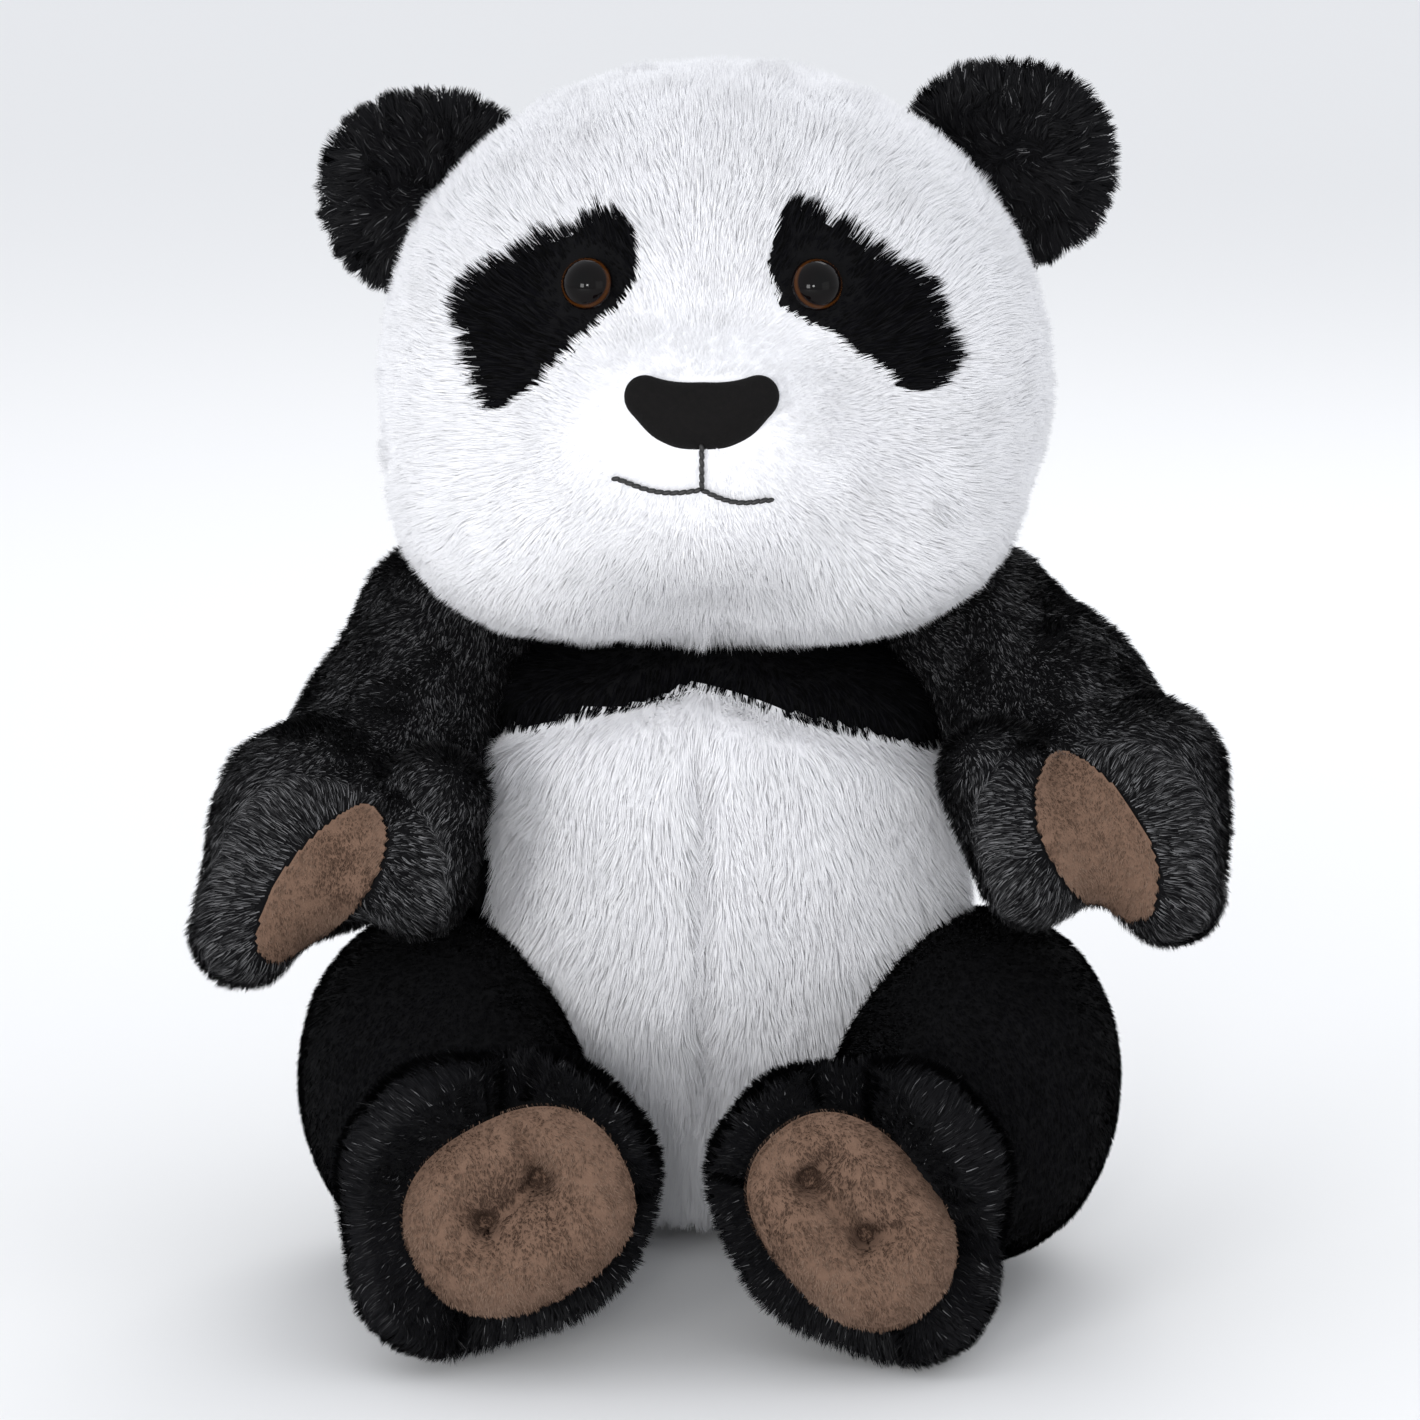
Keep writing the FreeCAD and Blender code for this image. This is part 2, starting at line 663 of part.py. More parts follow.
def leg_form(name, inset, tag, side):
    """The thigh and shin, flattened by the table, the belly and the back of the foot."""
    less = f" - {inset} * cover"
    deep = inset * size("cover")
    thigh = ellipsoid(name + "_thigh", "thigh_wide" + less, "thigh_long" + less, "thigh_high" + less)
    thigh.Placement = Placement(
        Vector(side * size("thigh_x"), size("thigh_y"), size("thigh_z")), Rotation())
    knee = Vector(side * size("shin_x"), size("shin_y"), size("shin_z"))
    ankle = Vector(side * size("foot_x_" + tag), size("foot_y"), size("foot_z"))
    radius = size("shin_radius") - deep
    shin = capsule(name + "_shin", (ankle - knee).Length, radius, radius, aim(knee, ankle))
    table = box(name + "_table", (-FAR, FAR), (-FAR, FAR), (-FAR, deep))
    seam = size("hip_x") + size("play") + deep
    belly = box(name + "_belly", sorted((side * seam, -side * FAR)), (size("lap_y") - deep, FAR),
                (-FAR, FAR))
    toes = box(name + "_toes", (-FAR, FAR), (-FAR, FAR), (0, FAR))
    toes.Placement = foot_place(tag, side).multiply(
        Placement(Vector(-FAR, -FAR, -size("foot_thick") / 2 + deep), Rotation()))
    return cut(name, fuse(name + "_whole", thigh, shin), table, belly, toes)


def make_leg(tag, side):
    """A leg: filling, thigh cover, foot cover, sole pad and the thread that dimples the sole."""
    place = foot_place(tag, side)
    outer, core = leg_form("leg_outer_" + tag, 0, tag, side), leg_form("leg_core_" + tag, 1, tag, side)
    foot_outer, foot_core = foot_form("foot_outer_" + tag, 0, place), foot_form("foot_core_" + tag, 1, place)

    face = size("foot_thick") / 2
    sole = bind(doc.addObject("Part::Cylinder", "sole_disc_" + tag), Radius="sole_radius", Height="cover")
    sole.Placement = place.multiply(Placement(Vector(0, 0, face - size("cover")), Rotation()))

    spin = Rotation(Vector(0, 0, 1), side * size("dimple_angle"))
    strands = []
    depth = size("dimple_depth")
    for way in (1, -1):
        spot = spin.multVec(Vector(way * size("dimple_half"), 0, 0))
        strand = bind(doc.addObject("Part::Cylinder", f"dimple_{tag}_{'a' if way > 0 else 'b'}"),
                      Radius="thread_wide / 2", Height="dimple_depth")
        strand.Placement = place.multiply(Placement(spot + Vector(0, 0, face - depth), Rotation()))
        strands.append(strand)
    link = doc.addObject("Part::Cylinder", "dimple_link_" + tag)
    bind(link, Radius="link_radius", Height="2 * dimple_half")
    start = spin.multVec(Vector(size("dimple_half"), 0, 0)) + Vector(0, 0, face - depth + size("link_rise"))
    link.Placement = place.multiply(
        Placement(start, Rotation(Vector(0, 0, 1), spin.multVec(Vector(-1, 0, 0)))))
    stitch = fuse("dimple_thread_" + tag, link, *strands)
    node(stitch, "sole_stitch_" + tag)

    filling = cut("leg_filling_" + tag, fuse("leg_inside_" + tag, core, foot_core), stitch)
    node(filling, "leg_stuffing_" + tag)
    node(cut("sole_" + tag, sole, stitch), "sole_pad_" + tag)
    node(cut("foot_cover_piece_" + tag, foot_outer, foot_core, core, sole), "foot_cover_" + tag)
    node(cut("thigh_cover_piece_" + tag, outer, core), "thigh_cover_" + tag)


make_trunk()
make_neck()
make_head()
for tag, side in SIDES:
    make_ear(tag, side)
    make_arm(tag, side)
    make_leg(tag, side)
doc.recompute()

for item in doc.Objects:
    if "Invalid" in item.State or "Error" in item.State:
        raise RuntimeError(f"{item.Label} failed: {item.State}")
for item in nodes:
    if item.Shape.isNull() or not item.Shape.isValid():
        raise RuntimeError(f"{item.Label} has no valid shape")

os.makedirs("parts", exist_ok=True)
for item in nodes:
    item.Shape.exportStep(os.path.join("parts", item.Label + ".step"))
    solids = item.Shape.Solids
    print(f"{item.Label:22s} solids {len(solids)}  volume {item.Shape.Volume / 1000:9.3f} cm3")
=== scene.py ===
"""The looks of a seated plush panda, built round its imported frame.

Every soft part is a smooth closed skin, made of a few rounded lumps, with a great many fine ribbons
of pile on it. The face, paws, feet, ears and joints are placed by the frame. The lumps that fill out the
head, trunk and thighs have fixed places in its millimetres. Lengths below are millimetres until a mesh
is made, apart from the stage.
"""

import json
import math

import bmesh
import bpy
import numpy as np
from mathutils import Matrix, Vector
from mathutils.kdtree import KDTree


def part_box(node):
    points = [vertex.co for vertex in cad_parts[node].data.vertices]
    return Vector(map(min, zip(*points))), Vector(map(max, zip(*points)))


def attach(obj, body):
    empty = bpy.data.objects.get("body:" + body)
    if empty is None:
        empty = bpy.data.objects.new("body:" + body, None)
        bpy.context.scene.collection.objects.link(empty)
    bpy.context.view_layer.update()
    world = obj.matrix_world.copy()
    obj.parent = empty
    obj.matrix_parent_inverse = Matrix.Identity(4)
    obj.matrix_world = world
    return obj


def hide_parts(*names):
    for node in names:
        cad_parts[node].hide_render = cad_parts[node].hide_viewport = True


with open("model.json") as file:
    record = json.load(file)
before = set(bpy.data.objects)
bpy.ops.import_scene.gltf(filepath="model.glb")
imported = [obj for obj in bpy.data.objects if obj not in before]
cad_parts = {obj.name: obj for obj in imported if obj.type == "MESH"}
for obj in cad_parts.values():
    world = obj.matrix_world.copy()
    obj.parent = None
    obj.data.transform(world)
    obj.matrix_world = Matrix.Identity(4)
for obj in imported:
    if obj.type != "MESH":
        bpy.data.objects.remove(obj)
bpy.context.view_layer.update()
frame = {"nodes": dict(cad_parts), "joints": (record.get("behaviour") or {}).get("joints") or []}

MM = 0.001
SIDES = (("left", 1.0), ("right", -1.0))   # the toy's own left is +X
FRONT = np.array((0.0, -1.0, 0.0))
TABLE = 0.4          # no fibre goes lower than this
ROOT_DEPTH = 0.6     # how far a fibre starts inside its skin
THIN = 1.0


# ---- places, read from the frame ----

def span(*names):
    """The lowest and highest corner that some CAD nodes have together."""
    boxes = [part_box(name) for name in names]
    low = np.min([np.array(b[0]) for b in boxes], axis=0)
    high = np.max([np.array(b[1]) for b in boxes], axis=0)
    return low / MM, high / MM


def middle(*names):
    low, high = span(*names)
    return (low + high) / 2


def pivot(joint):
    found = next(j for j in frame["joints"] if j["name"] == joint)
    return np.array(found["pos_m"]) / MM


def unit(v):
    return v / np.maximum(np.linalg.norm(v, axis=-1, keepdims=True), 1e-9)


def ramp(x, low, high):
    """0 below low, 1 above high, and smooth between them."""
    t = np.clip((x - low) / (high - low), 0, 1)
    return t * t * (3 - 2 * t)


def noise(p, scale, seed):
    """Three channels of smooth noise between -1 and 1, with one swell to each scale millimetres."""
    q = p / scale + seed * 13.7
    cell = np.floor(q).astype(np.int64)
    f = q - cell
    f = f * f * (3 - 2 * f)
    total = np.zeros((len(p), 3))
    for corner in np.ndindex(2, 2, 2):
        c = cell + corner
        share = np.prod(np.where(np.array(corner) == 1, f, 1 - f), axis=1)
        key = (c[:, 0] * 73856093) ^ (c[:, 1] * 19349663) ^ (c[:, 2] * 83492791) ^ (seed * 2654435)
        for channel in range(3):
            mixed = (key * (2 * channel + 3) * 668265263 + 374761393) & 0x7FFFFFFF
            mixed = ((mixed ^ (mixed >> 13)) * 1274126177) & 0x7FFFFFFF
            total[:, channel] += share * ((mixed ^ (mixed >> 16)) / 0x3FFFFFFF - 1)
    return total


# ---- rounded forms: each is a function that is negative inside ----

def lump(centre, radii, power=2.0, down=None, axes=None):
    """A rounded box or ball. down is its lower half's height; axes has its own directions as rows."""
    centre, radii = np.array(centre, float), np.array(radii, float)

    def field(p):
        q = p - centre
        if axes is not None:
            q = q @ np.array(axes).T
        high = np.where(q[:, 2] < 0, down or radii[2], radii[2])
        r = (np.abs(q[:, 0] / radii[0]) ** power + np.abs(q[:, 1] / radii[1]) ** power
             + np.abs(q[:, 2] / high) ** power) ** (1 / power)
        return (r - 1) * radii.min()

    return field


def limb(a, radius_a, b, radius_b):
    """A rounded limb from a to b."""
    a, b = np.array(a, float), np.array(b, float)

    def field(p):
        along = b - a
        t = np.clip((p - a) @ along / (along @ along), 0, 1)
        return np.linalg.norm(p - a - t[:, None] * along, axis=1) - (radius_a + t * (radius_b - radius_a))

    return field


def melt(soft, *fields):
    """Several forms run into each other, over soft millimetres."""
    def field(p):
        d = fields[0](p)
        for other in fields[1:]:
            e = other(p)
            h = np.maximum(soft - np.abs(d - e), 0) / soft
            d = np.minimum(d, e) - h * h * soft / 4
        return d

    return field


def pressed(form, depth):
    """A form with its surface pushed in by depth(p) millimetres."""
    return lambda p: form(p) + depth(p)


def carved(form, gap, *tools):
    """A form that gives way to its neighbours and stays gap millimetres from them."""
    return lambda p: np.max([form(p)] + [gap - tool(p) for tool in tools], axis=0)


# ---- meshes ----

def new_mesh(name, verts, faces, materials):
    mesh = bpy.data.meshes.new(name)
    mesh.from_pydata((verts * MM).tolist(), [], faces)
    for material in materials:
        mesh.materials.append(material)
    mesh.polygons.foreach_set("use_smooth", np.ones(len(mesh.polygons), bool))
    mesh.update()
    obj = bpy.data.objects.new(name, mesh)
    bpy.context.scene.collection.objects.link(obj)
    return obj


def ball(detail):
    """The directions and triangles of an even ball."""
    b = bmesh.new()
    bmesh.ops.create_icosphere(b, subdivisions=detail, radius=1.0)
    directions = unit(np.array([v.co for v in b.verts]))
    faces = [[v.index for v in f.verts] for f in b.faces]
    b.free()
    return directions, faces


BALLS = {detail: ball(detail) for detail in (6, 7)}


class Skin:
    """A closed or open fabric surface, as arrays that pile can be grown from."""

    def __init__(self, verts, faces):
        self.verts = verts
        self.faces = faces
        self.tris = np.array(faces)
        a, b, c = (verts[self.tris[:, i]] for i in range(3))
        cross = np.cross(b - a, c - a)
        self.areas = np.linalg.norm(cross, axis=1) / 2
        self.normals = np.zeros_like(verts)
        for i in range(3):
            np.add.at(self.normals, self.tris[:, i], cross)
        self.normals = unit(self.normals)

    def make(self, name, material, body, slot, fill=None, stands_for=()):
        obj = new_mesh(name, self.verts, self.faces, [material])
        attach(obj, body)
        if stands_for:
            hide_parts(*stands_for)
        return obj

    def patch(self, inside, lift):
        """The part of a skin where inside is above 0, raised by lift."""
        chosen = inside(self.verts) > 0
        faces = self.tris[chosen[self.tris].all(axis=1)]
        used, again = np.unique(faces, return_inverse=True)
        verts = self.verts[used] + self.normals[used] * lift
        return Skin(verts, again.reshape(-1, 3).tolist())


def inflate(form, centre, detail=6, reach=130.0, floor=None):
    """The skin of a form, found outwards from its centre."""
    directions, faces = BALLS[detail]
    low = np.zeros(len(directions))
    high = np.full(len(directions), reach)
    for _ in range(24):
        half = (low + high) / 2
        inside = form(centre + directions * half[:, None]) < 0
        low = np.where(inside, half, low)
        high = np.where(inside, high, half)
    verts = centre + directions * low[:, None]
    if floor is not None:
        verts[:, 2] = np.maximum(verts[:, 2], floor)
    return Skin(verts, faces)


# ---- materials ----

def principled(name, color, roughness, **inputs):
    material = bpy.data.materials.new(name)
    material.use_nodes = True
    shader = material.node_tree.nodes["Principled BSDF"]
    shader.inputs["Base Color"].default_value = (*color, 1)
    shader.inputs["Roughness"].default_value = roughness
    for key, value in inputs.items():
        shader.inputs[key.replace("_", " ")].default_value = value
    return material


def knit(name, dark, light, roughness, cell, bump, **inputs):
    """A fabric backing: small knitted bumps and slow changes of tone."""
    material = principled(name, light, roughness, **inputs)
    tree = material.node_tree
    shader = tree.nodes["Principled BSDF"]
    place = tree.nodes.new("ShaderNodeTexCoord")
    cells = tree.nodes.new("ShaderNodeTexVoronoi")
    cells.inputs["Scale"].default_value = 1 / (cell * MM)
    cloud = tree.nodes.new("ShaderNodeTexNoise")
    cloud.inputs["Scale"].default_value = 0.35 / (cell * MM)
    cloud.inputs["Detail"].default_value = 6.0
    tone = tree.nodes.new("ShaderNodeMix")
    tone.data_type = "RGBA"
    tone.inputs["A"].default_value = (*dark, 1)
    tone.inputs["B"].default_value = (*light, 1)
    rise = tree.nodes.new("ShaderNodeBump")
    rise.inputs["Strength"].default_value = 0.6
    rise.inputs["Distance"].default_value = bump * MM
    link = tree.links.new
    link(place.outputs["Object"], cells.inputs["Vector"])
    link(place.outputs["Object"], cloud.inputs["Vector"])
    link(cloud.outputs["Fac"], tone.inputs["Factor"])
    link(tone.outputs["Result"], shader.inputs["Base Color"])
    link(cells.outputs["Distance"], rise.inputs["Height"])
    link(rise.outputs["Normal"], shader.inputs["Normal"])
    return material


def tones(name, colors, roughness, **inputs):
    """One material for each of a pile's few fibre tones."""
    return [principled(f"{name}_{i}", color, roughness, **inputs) for i, color in enumerate(colors)]


WHITE_BACKING = knit("white_backing", (0.80, 0.80, 0.82), (0.88, 0.88, 0.9), 0.9, 0.7, 0.1)
BLACK_BACKING = knit("black_backing", (0.002, 0.002, 0.002), (0.005, 0.005, 0.006), 0.9, 0.7, 0.2,
                     Specular_IOR_Level=0.1)
BROWN_BACKING = knit("brown_backing", (0.10, 0.055, 0.035), (0.17, 0.10, 0.066), 0.95, 0.5, 0.15)
NOSE_BACKING = knit("nose_backing", (0.004, 0.004, 0.004), (0.008, 0.007, 0.007), 0.9, 0.35, 0.08,
                    Specular_IOR_Level=0.1)

WHITE_PILE = tones("white_pile", ((0.87, 0.87, 0.89), (0.90, 0.90, 0.915), (0.84, 0.84, 0.865),
                                  (0.89, 0.89, 0.905)), 0.8, Specular_IOR_Level=0.15)
# Black pile in four tones. The two darker tones are the fibres' own black. The third is painted sheen and the
# palest is painted glints: pale fibres standing in for the light that glossy black fibres reflect.
DARK_PILE_PAINTED_GLINTS = tones("dark_pile_painted_glints", ((0.003, 0.003, 0.004), (0.012, 0.012, 0.013), (0.045, 0.045, 0.047),
                                  (0.16, 0.16, 0.165)), 0.55, Specular_IOR_Level=0.1)
BLACK_PILE = tones("black_pile", ((0.002, 0.002, 0.002), (0.003, 0.003, 0.004), (0.007, 0.007, 0.008)), 0.8,
                   Specular_IOR_Level=0.03)
BROWN_PILE = tones("brown_pile", ((0.05, 0.029, 0.02), (0.085, 0.051, 0.035), (0.125, 0.078, 0.054),
                                  (0.19, 0.124, 0.09)), 0.85, Specular_IOR_Level=0.15)
NOSE_PILE = tones("nose_pile", ((0.004, 0.004, 0.004), (0.007, 0.006, 0.006), (0.012, 0.011, 0.011)), 0.75,
                  Specular_IOR_Level=0.1)


# ---- pile ----

LEAN_CURVE = 0.6     # below 1, fibres bend over nearer their roots
TONE_SPREAD = 0.95   # how far fibres stray from the tone that shade gives


def pile(length, width, density, lean, tuft=7.0, wave=0.35, stray=0.12, clump=0.45, crowd=14, steps=3):
    """How one kind of pile lies: fibre length and width in mm, fibres to a square centimetre, and the
    lean from straight out, in degrees, at root and tip. tuft is the size of its swirls in mm, wave and
    stray how much they and chance turn a fibre, clump how far a fibre leans to its tuft's leader, crowd
    the fibres to a leader, and steps the lengths that a fibre is made of."""
    return dict(length=length, width=width, density=density, lean=lean, tuft=tuft, wave=wave,
                stray=stray, clump=clump, crowd=crowd, steps=steps)


HEAD_PILE = pile(length=5.6, width=0.25, density=620, lean=(22, 60), tuft=8.0, wave=0.45, clump=0.3, steps=2)
EYE_PATCH_PILE = pile(length=6.0, width=0.3, density=420, lean=(35, 62), clump=0.4)
NOSE_VELOUR = pile(length=0.9, width=0.16, density=3200, lean=(30, 60), tuft=3.0, crowd=6, steps=2)
BELLY_PILE = pile(length=7.6, width=0.26, density=480, lean=(30, 66), tuft=9.0, wave=0.42, clump=0.4, steps=2)
COAT_PILE = pile(length=3.6, width=0.2, density=680, lean=(30, 62), wave=0.4, clump=0.35, steps=2)
CHEST_PILE = pile(length=5.0, width=0.3, density=400, lean=(35, 65))
NECK_PILE = pile(length=4.0, width=0.3, density=300, lean=(35, 65), steps=2)
EAR_PILE = pile(length=5.0, width=0.26, density=620, lean=(8, 34), tuft=4.0, wave=0.6, stray=0.25, crowd=24,
                clump=0.6)
PAW_PAD_PILE = pile(length=1.6, width=0.2, density=1500, lean=(30, 60), tuft=2.5, wave=0.5, crowd=8, steps=2)
THIGH_PILE = pile(length=2.6, width=0.24, density=620, lean=(35, 65), wave=0.25, clump=0.3, steps=2)
FOOT_PILE = pile(length=3.6, width=0.22, density=640, lean=(15, 50), wave=0.4, clump=0.4, steps=2)
SOLE_PILE = pile(length=1.7, width=0.2, density=1300, lean=(25, 60), tuft=2.2, wave=0.7, crowd=8, steps=2)

# the share of fibres in each of the dark pile's tones, from darkest to palest. The sleeves get more of the
# pale tones, as painted sheen and glints, and the back, ears and feet get few, as only scattered painted
# glints
SLEEVE_TONES_PAINTED_SHEEN = (0.30, 0.28, 0.25, 0.17)
DARK_TONES = (0.86, 0.10, 0.03, 0.01)
WHITE_ROUND_OFF = 0.95   # white pile is shaded almost as the round form under it


def pick_roots(skin, style, zone, rng):
    """Points spread evenly over the part of a skin where zone is above 0, thinned by zone."""
    corners = skin.verts[skin.tris]
    open_tris = np.where((zone(corners.reshape(-1, 3)).reshape(-1, 3) > 0).any(axis=1))[0]
    areas = skin.areas[open_tris]
    count = int(areas.sum() / 100 * style["density"] / THIN)
    chosen = open_tris[np.searchsorted(np.cumsum(areas) / areas.sum(), rng.random(count))]
    u, v = rng.random(count), rng.random(count)
    over = u + v > 1
    u, v = np.where(over, 1 - u, u), np.where(over, 1 - v, v)
    weights = np.stack([1 - u - v, u, v], axis=1)[:, :, None]
    roots = (corners[chosen] * weights).sum(axis=1)
    normals = unit((skin.normals[skin.tris[chosen]] * weights).sum(axis=1))
    keep = rng.random(count) < zone(roots)
    return roots[keep], normals[keep]


def follow_leaders(points, roots, style, rng):
    """Draws the fibres together into tufts, more towards their tips."""
    leaders = rng.choice(len(roots), max(1, len(roots) // style["crowd"]), replace=False)
    tree = KDTree(len(leaders))
    for i, leader in enumerate(leaders):
        tree.insert(roots[leader], i)
    tree.balance()
    nearest = leaders[[tree.find(root)[1] for root in roots]]
    steps = points.shape[1] - 1
    pull = style["clump"] * rng.uniform(0.6, 1.2, len(roots))
    for k in range(1, steps + 1):
        share = (pull * (k / steps) ** 1.2)[:, None]
        points[:, k] += share * (points[nearest, k] - points[:, k])
    return points


def grow(name, skin, style, comb, body, materials, seed, zone=None, length=None, round_off=0.6,
         weights=None, shade=None):
    """Grows pile on a skin. comb gives the way it is brushed, and length its share of the full length.

    A fibre's tone is picked by weights, or by where it stands if there is a shade."""
    rng = np.random.default_rng(seed)
    zone = zone or (lambda p: np.ones(len(p)))
    roots, normals = pick_roots(skin, style, zone, rng)
    count = len(roots)
    flow = comb(roots, normals)
    flow = unit(flow - (flow * normals).sum(axis=1, keepdims=True) * normals)
    full = style["length"] * rng.uniform(0.72, 1.1, count)
    if length is not None:
        full = full * length(roots)
    wander = noise(roots, style["tuft"], seed) * style["wave"]
    wander += noise(roots, style["tuft"] / 2.7, seed + 1) * style["wave"] * 0.6
    wander += rng.normal(0, style["stray"], (count, 3))
    steps = style["steps"]
    start, finish = (math.radians(a) for a in style["lean"])
    points = [roots - normals * ROOT_DEPTH]
    for k in range(steps):
        s = (k + 0.5) / steps
        angle = start + (finish - start) * s ** LEAN_CURVE
        way = unit(normals * math.cos(angle) + flow * math.sin(angle) + wander * (0.35 + 0.65 * s))
        points.append(points[-1] + way * (full / steps)[:, None])
    points = follow_leaders(np.stack(points, axis=1), roots, style, rng)
    points[:, :, 2] = np.maximum(points[:, :, 2], TABLE)
    tone = rng.choice(len(materials), count, p=weights)
    if shade is not None:
        drifted = np.round(shade(roots) + rng.normal(0, TONE_SPREAD, count))
        tone = np.clip(drifted, 0, len(materials) - 1).astype(int)
    ribbons(name, points, normals, style, rng, body, materials, round_off, tone)


def ribbons(name, points, normals, style, rng, body, materials, round_off, tone):
    """Turns fibre lines into tapering ribbons that face out of the fabric."""
    count, levels = points.shape[:2]
    steps = levels - 1
    way = unit(points[:, -1] - points[:, 0])
    side = unit(np.cross(way, normals))
    turn = rng.uniform(-0.6, 0.6, count)[:, None]
    side = side * np.cos(turn) + np.cross(way, side) * np.sin(turn)
    width = style["width"] * rng.uniform(0.7, 1.3, count) * (1.5 if THIN > 1 else 1)
    verts = np.zeros((count, 2 * steps + 1, 3))
    for k in range(steps):
        half = (width * (1 - 0.75 * (k / steps) ** 1.3) / 2)[:, None] * side
        verts[:, 2 * k] = points[:, k] - half
        verts[:, 2 * k + 1] = points[:, k] + half
    verts[:, -1] = points[:, -1]
    loops = []
    for k in range(steps - 1):
        loops += [2 * k, 2 * k + 1, 2 * k + 3, 2 * k + 2]
    loops += [2 * steps - 2, 2 * steps - 1, 2 * steps]
    sizes = [4] * (steps - 1) + [3]
    per = 2 * steps + 1
    loops = (np.arange(count)[:, None] * per + np.array(loops)[None]).ravel()
    sizes = np.tile(sizes, count)
    mesh = bpy.data.meshes.new(name)
    mesh.vertices.add(count * per)
    mesh.vertices.foreach_set("co", (verts * MM).astype(np.float32).ravel())
    mesh.loops.add(len(loops))
    mesh.loops.foreach_set("vertex_index", loops.astype(np.int32))
    mesh.polygons.add(len(sizes))
    mesh.polygons.foreach_set("loop_start", (np.cumsum(sizes) - sizes).astype(np.int32))
    mesh.polygons.foreach_set("use_smooth", np.ones(len(sizes), bool))
    mesh.polygons.foreach_set("material_index", np.repeat(tone, steps).astype(np.int32))
    for material in materials:
        mesh.materials.append(material)
    mesh.update()
    facing = unit(np.cross(side, way))
    bent = unit(normals * round_off + facing * (1 - round_off))
    mesh.normals_split_custom_set_from_vertices(np.repeat(bent, per, axis=0).tolist())
    obj = bpy.data.objects.new(name, mesh)
    bpy.context.scene.collection.objects.link(obj)
    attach(obj, body)
    return obj


def clouded(scale, seed):
    """Tones that drift in soft patches, as brushed plush has."""
    return lambda p: 1.5 + 1.9 * (noise(p, scale, seed)[:, 0] + 0.3 * noise(p, scale / 3, seed + 1)[:, 0])


def along(direction):
    """A comb that brushes all of a skin's pile one way."""
    return lambda p, n: np.tile(np.array(direction, float), (len(p), 1))


# ---- head ----

HEAD = np.array((1.0, middle("head_back_panel", "cheek_panel_left")[1], 180.0))
MUZZLE = middle("muzzle_panel")
NOSE = middle("nose") + np.array((0, 0, -2.2))


def eye_axis(tag):
    """A point on the line that an eye is turned about, and the way it looks along that line."""
    verts = np.array([v.co for v in frame["nodes"]["eye_" + tag].data.vertices]) / MM
    centre = verts.mean(axis=0)
    spreads, ways = np.linalg.eigh(np.cov((verts - centre).T))
    way = ways[:, 2] if spreads[1] - spreads[0] < spreads[2] - spreads[1] else ways[:, 0]
    return centre, way * np.sign(way @ FRONT)


EYES = {tag: middle("eye_" + tag) for tag, side in SIDES}
PATCHES = {tag: middle("eye_patch_" + tag) for tag, side in SIDES}

HEAD_FORM = melt(
    10.0,
    lump(HEAD, (65.8, 55.0, 63.3), power=2.1, down=48.0),
    lump((27, 2, 160), (31.5, 34, 25)),
    lump((-28, 2, 160), (32.5, 34, 25)),
    lump((-1, -26, 173), (31, 21, 22)),
    lump((-1, -31, 184), (17, 13, 12)),
)
head = inflate(HEAD_FORM, HEAD, detail=7)


# each patch is drawn round these circles: outwards, up and radius, from the middle of its panel
PATCH_SHAPES = {
    "left": ((-17.0, 15.5, 2.8), (-14.6, 6.3, 7.2), (7.4, -10.8, 6.9), (4.2, -1.0, 6.2)),
    "right": ((-15.6, 8.2, 8.0), (6.4, -3.3, 6.6), (4.0, -17.6, 3.6), (-1.5, -4.0, 6.5)),
}


def patch_depth(tag, side):
    """How far inside an eye patch's outline a point on the face is, in millimetres."""
    centre = PATCHES[tag]
    circles = [(np.array((centre[0] + side * out, centre[2] + up)), radius)
               for out, up, radius in PATCH_SHAPES[tag]]

    def depth(p):
        q = p[:, (0, 2)] + noise(p, 5.0, 5)[:, :2] * 0.9
        best = np.full(len(p), -99.0)
        for i, (a, radius_a) in enumerate(circles):
            for b, radius_b in circles[i + 1:]:
                t = np.clip((q - a) @ (b - a) / ((b - a) @ (b - a)), 0, 1)
                away = np.linalg.norm(q - a - t[:, None] * (b - a), axis=1)
                best = np.maximum(best, radius_a + t * (radius_b - radius_a) - away)
        return np.where(p[:, 1] < HEAD[1], best, -99.0)

    return depth


PATCH_DEPTHS = {tag: patch_depth(tag, side) for tag, side in SIDES}
EYE_RIM = 5.0        # no pile grows nearer than this to the middle of an eye
EYE_RIM_END = 5.6    # and beyond this it is as dense as elsewhere


def face_clear(p):
    """0 under the eyes, the nose and the mouth, where no pile grows, and 1 elsewhere."""
    clear = np.ones(len(p))
    for eye in EYES.values():
        clear *= ramp(np.linalg.norm(p - eye, axis=1), EYE_RIM, EYE_RIM_END)
    nose = np.maximum(np.abs(p[:, 0] - NOSE[0]) / 14.0, np.abs(p[:, 2] - NOSE[2]) / 7.0)
    clear *= np.where(p[:, 1] < MUZZLE[1], ramp(nose, 0.8, 0.95), 1.0)
    return clear


def on_white(p):
    """Above 0 on the head's white fabric, where its pile grows."""
    inside = np.maximum(PATCH_DEPTHS["left"](p), PATCH_DEPTHS["right"](p))
    return np.where(inside < 0, face_clear(p), 0)


def face_length(p):
    """Pile is short round the nose and mouth, and full on the cheeks and crown."""
    near = np.linalg.norm((p - NOSE) * np.array((0.8, 0.6, 1.0)), axis=1)
    share = 0.38 + 0.62 * ramp(near, 9.0, 42.0)
    for eye in EYES.values():
        share *= 0.45 + 0.55 * ramp(np.linalg.norm(p - eye, axis=1), EYE_RIM, 13.0)
    fringe = 0.7 * np.exp(-((p[:, 0] - 3.0) / 14.0) ** 2) * ramp(-p[:, 2], -142.0, -134.0)
    return share + fringe


def head_comb(p, n):
    """Brushed away from the nose over the face and crown, then down the back."""
    back = ramp(p[:, 1], 25.0, 60.0)[:, None]
    return unit(p - NOSE) * (1 - back) + np.array((0, 0.2, -1.0)) * back


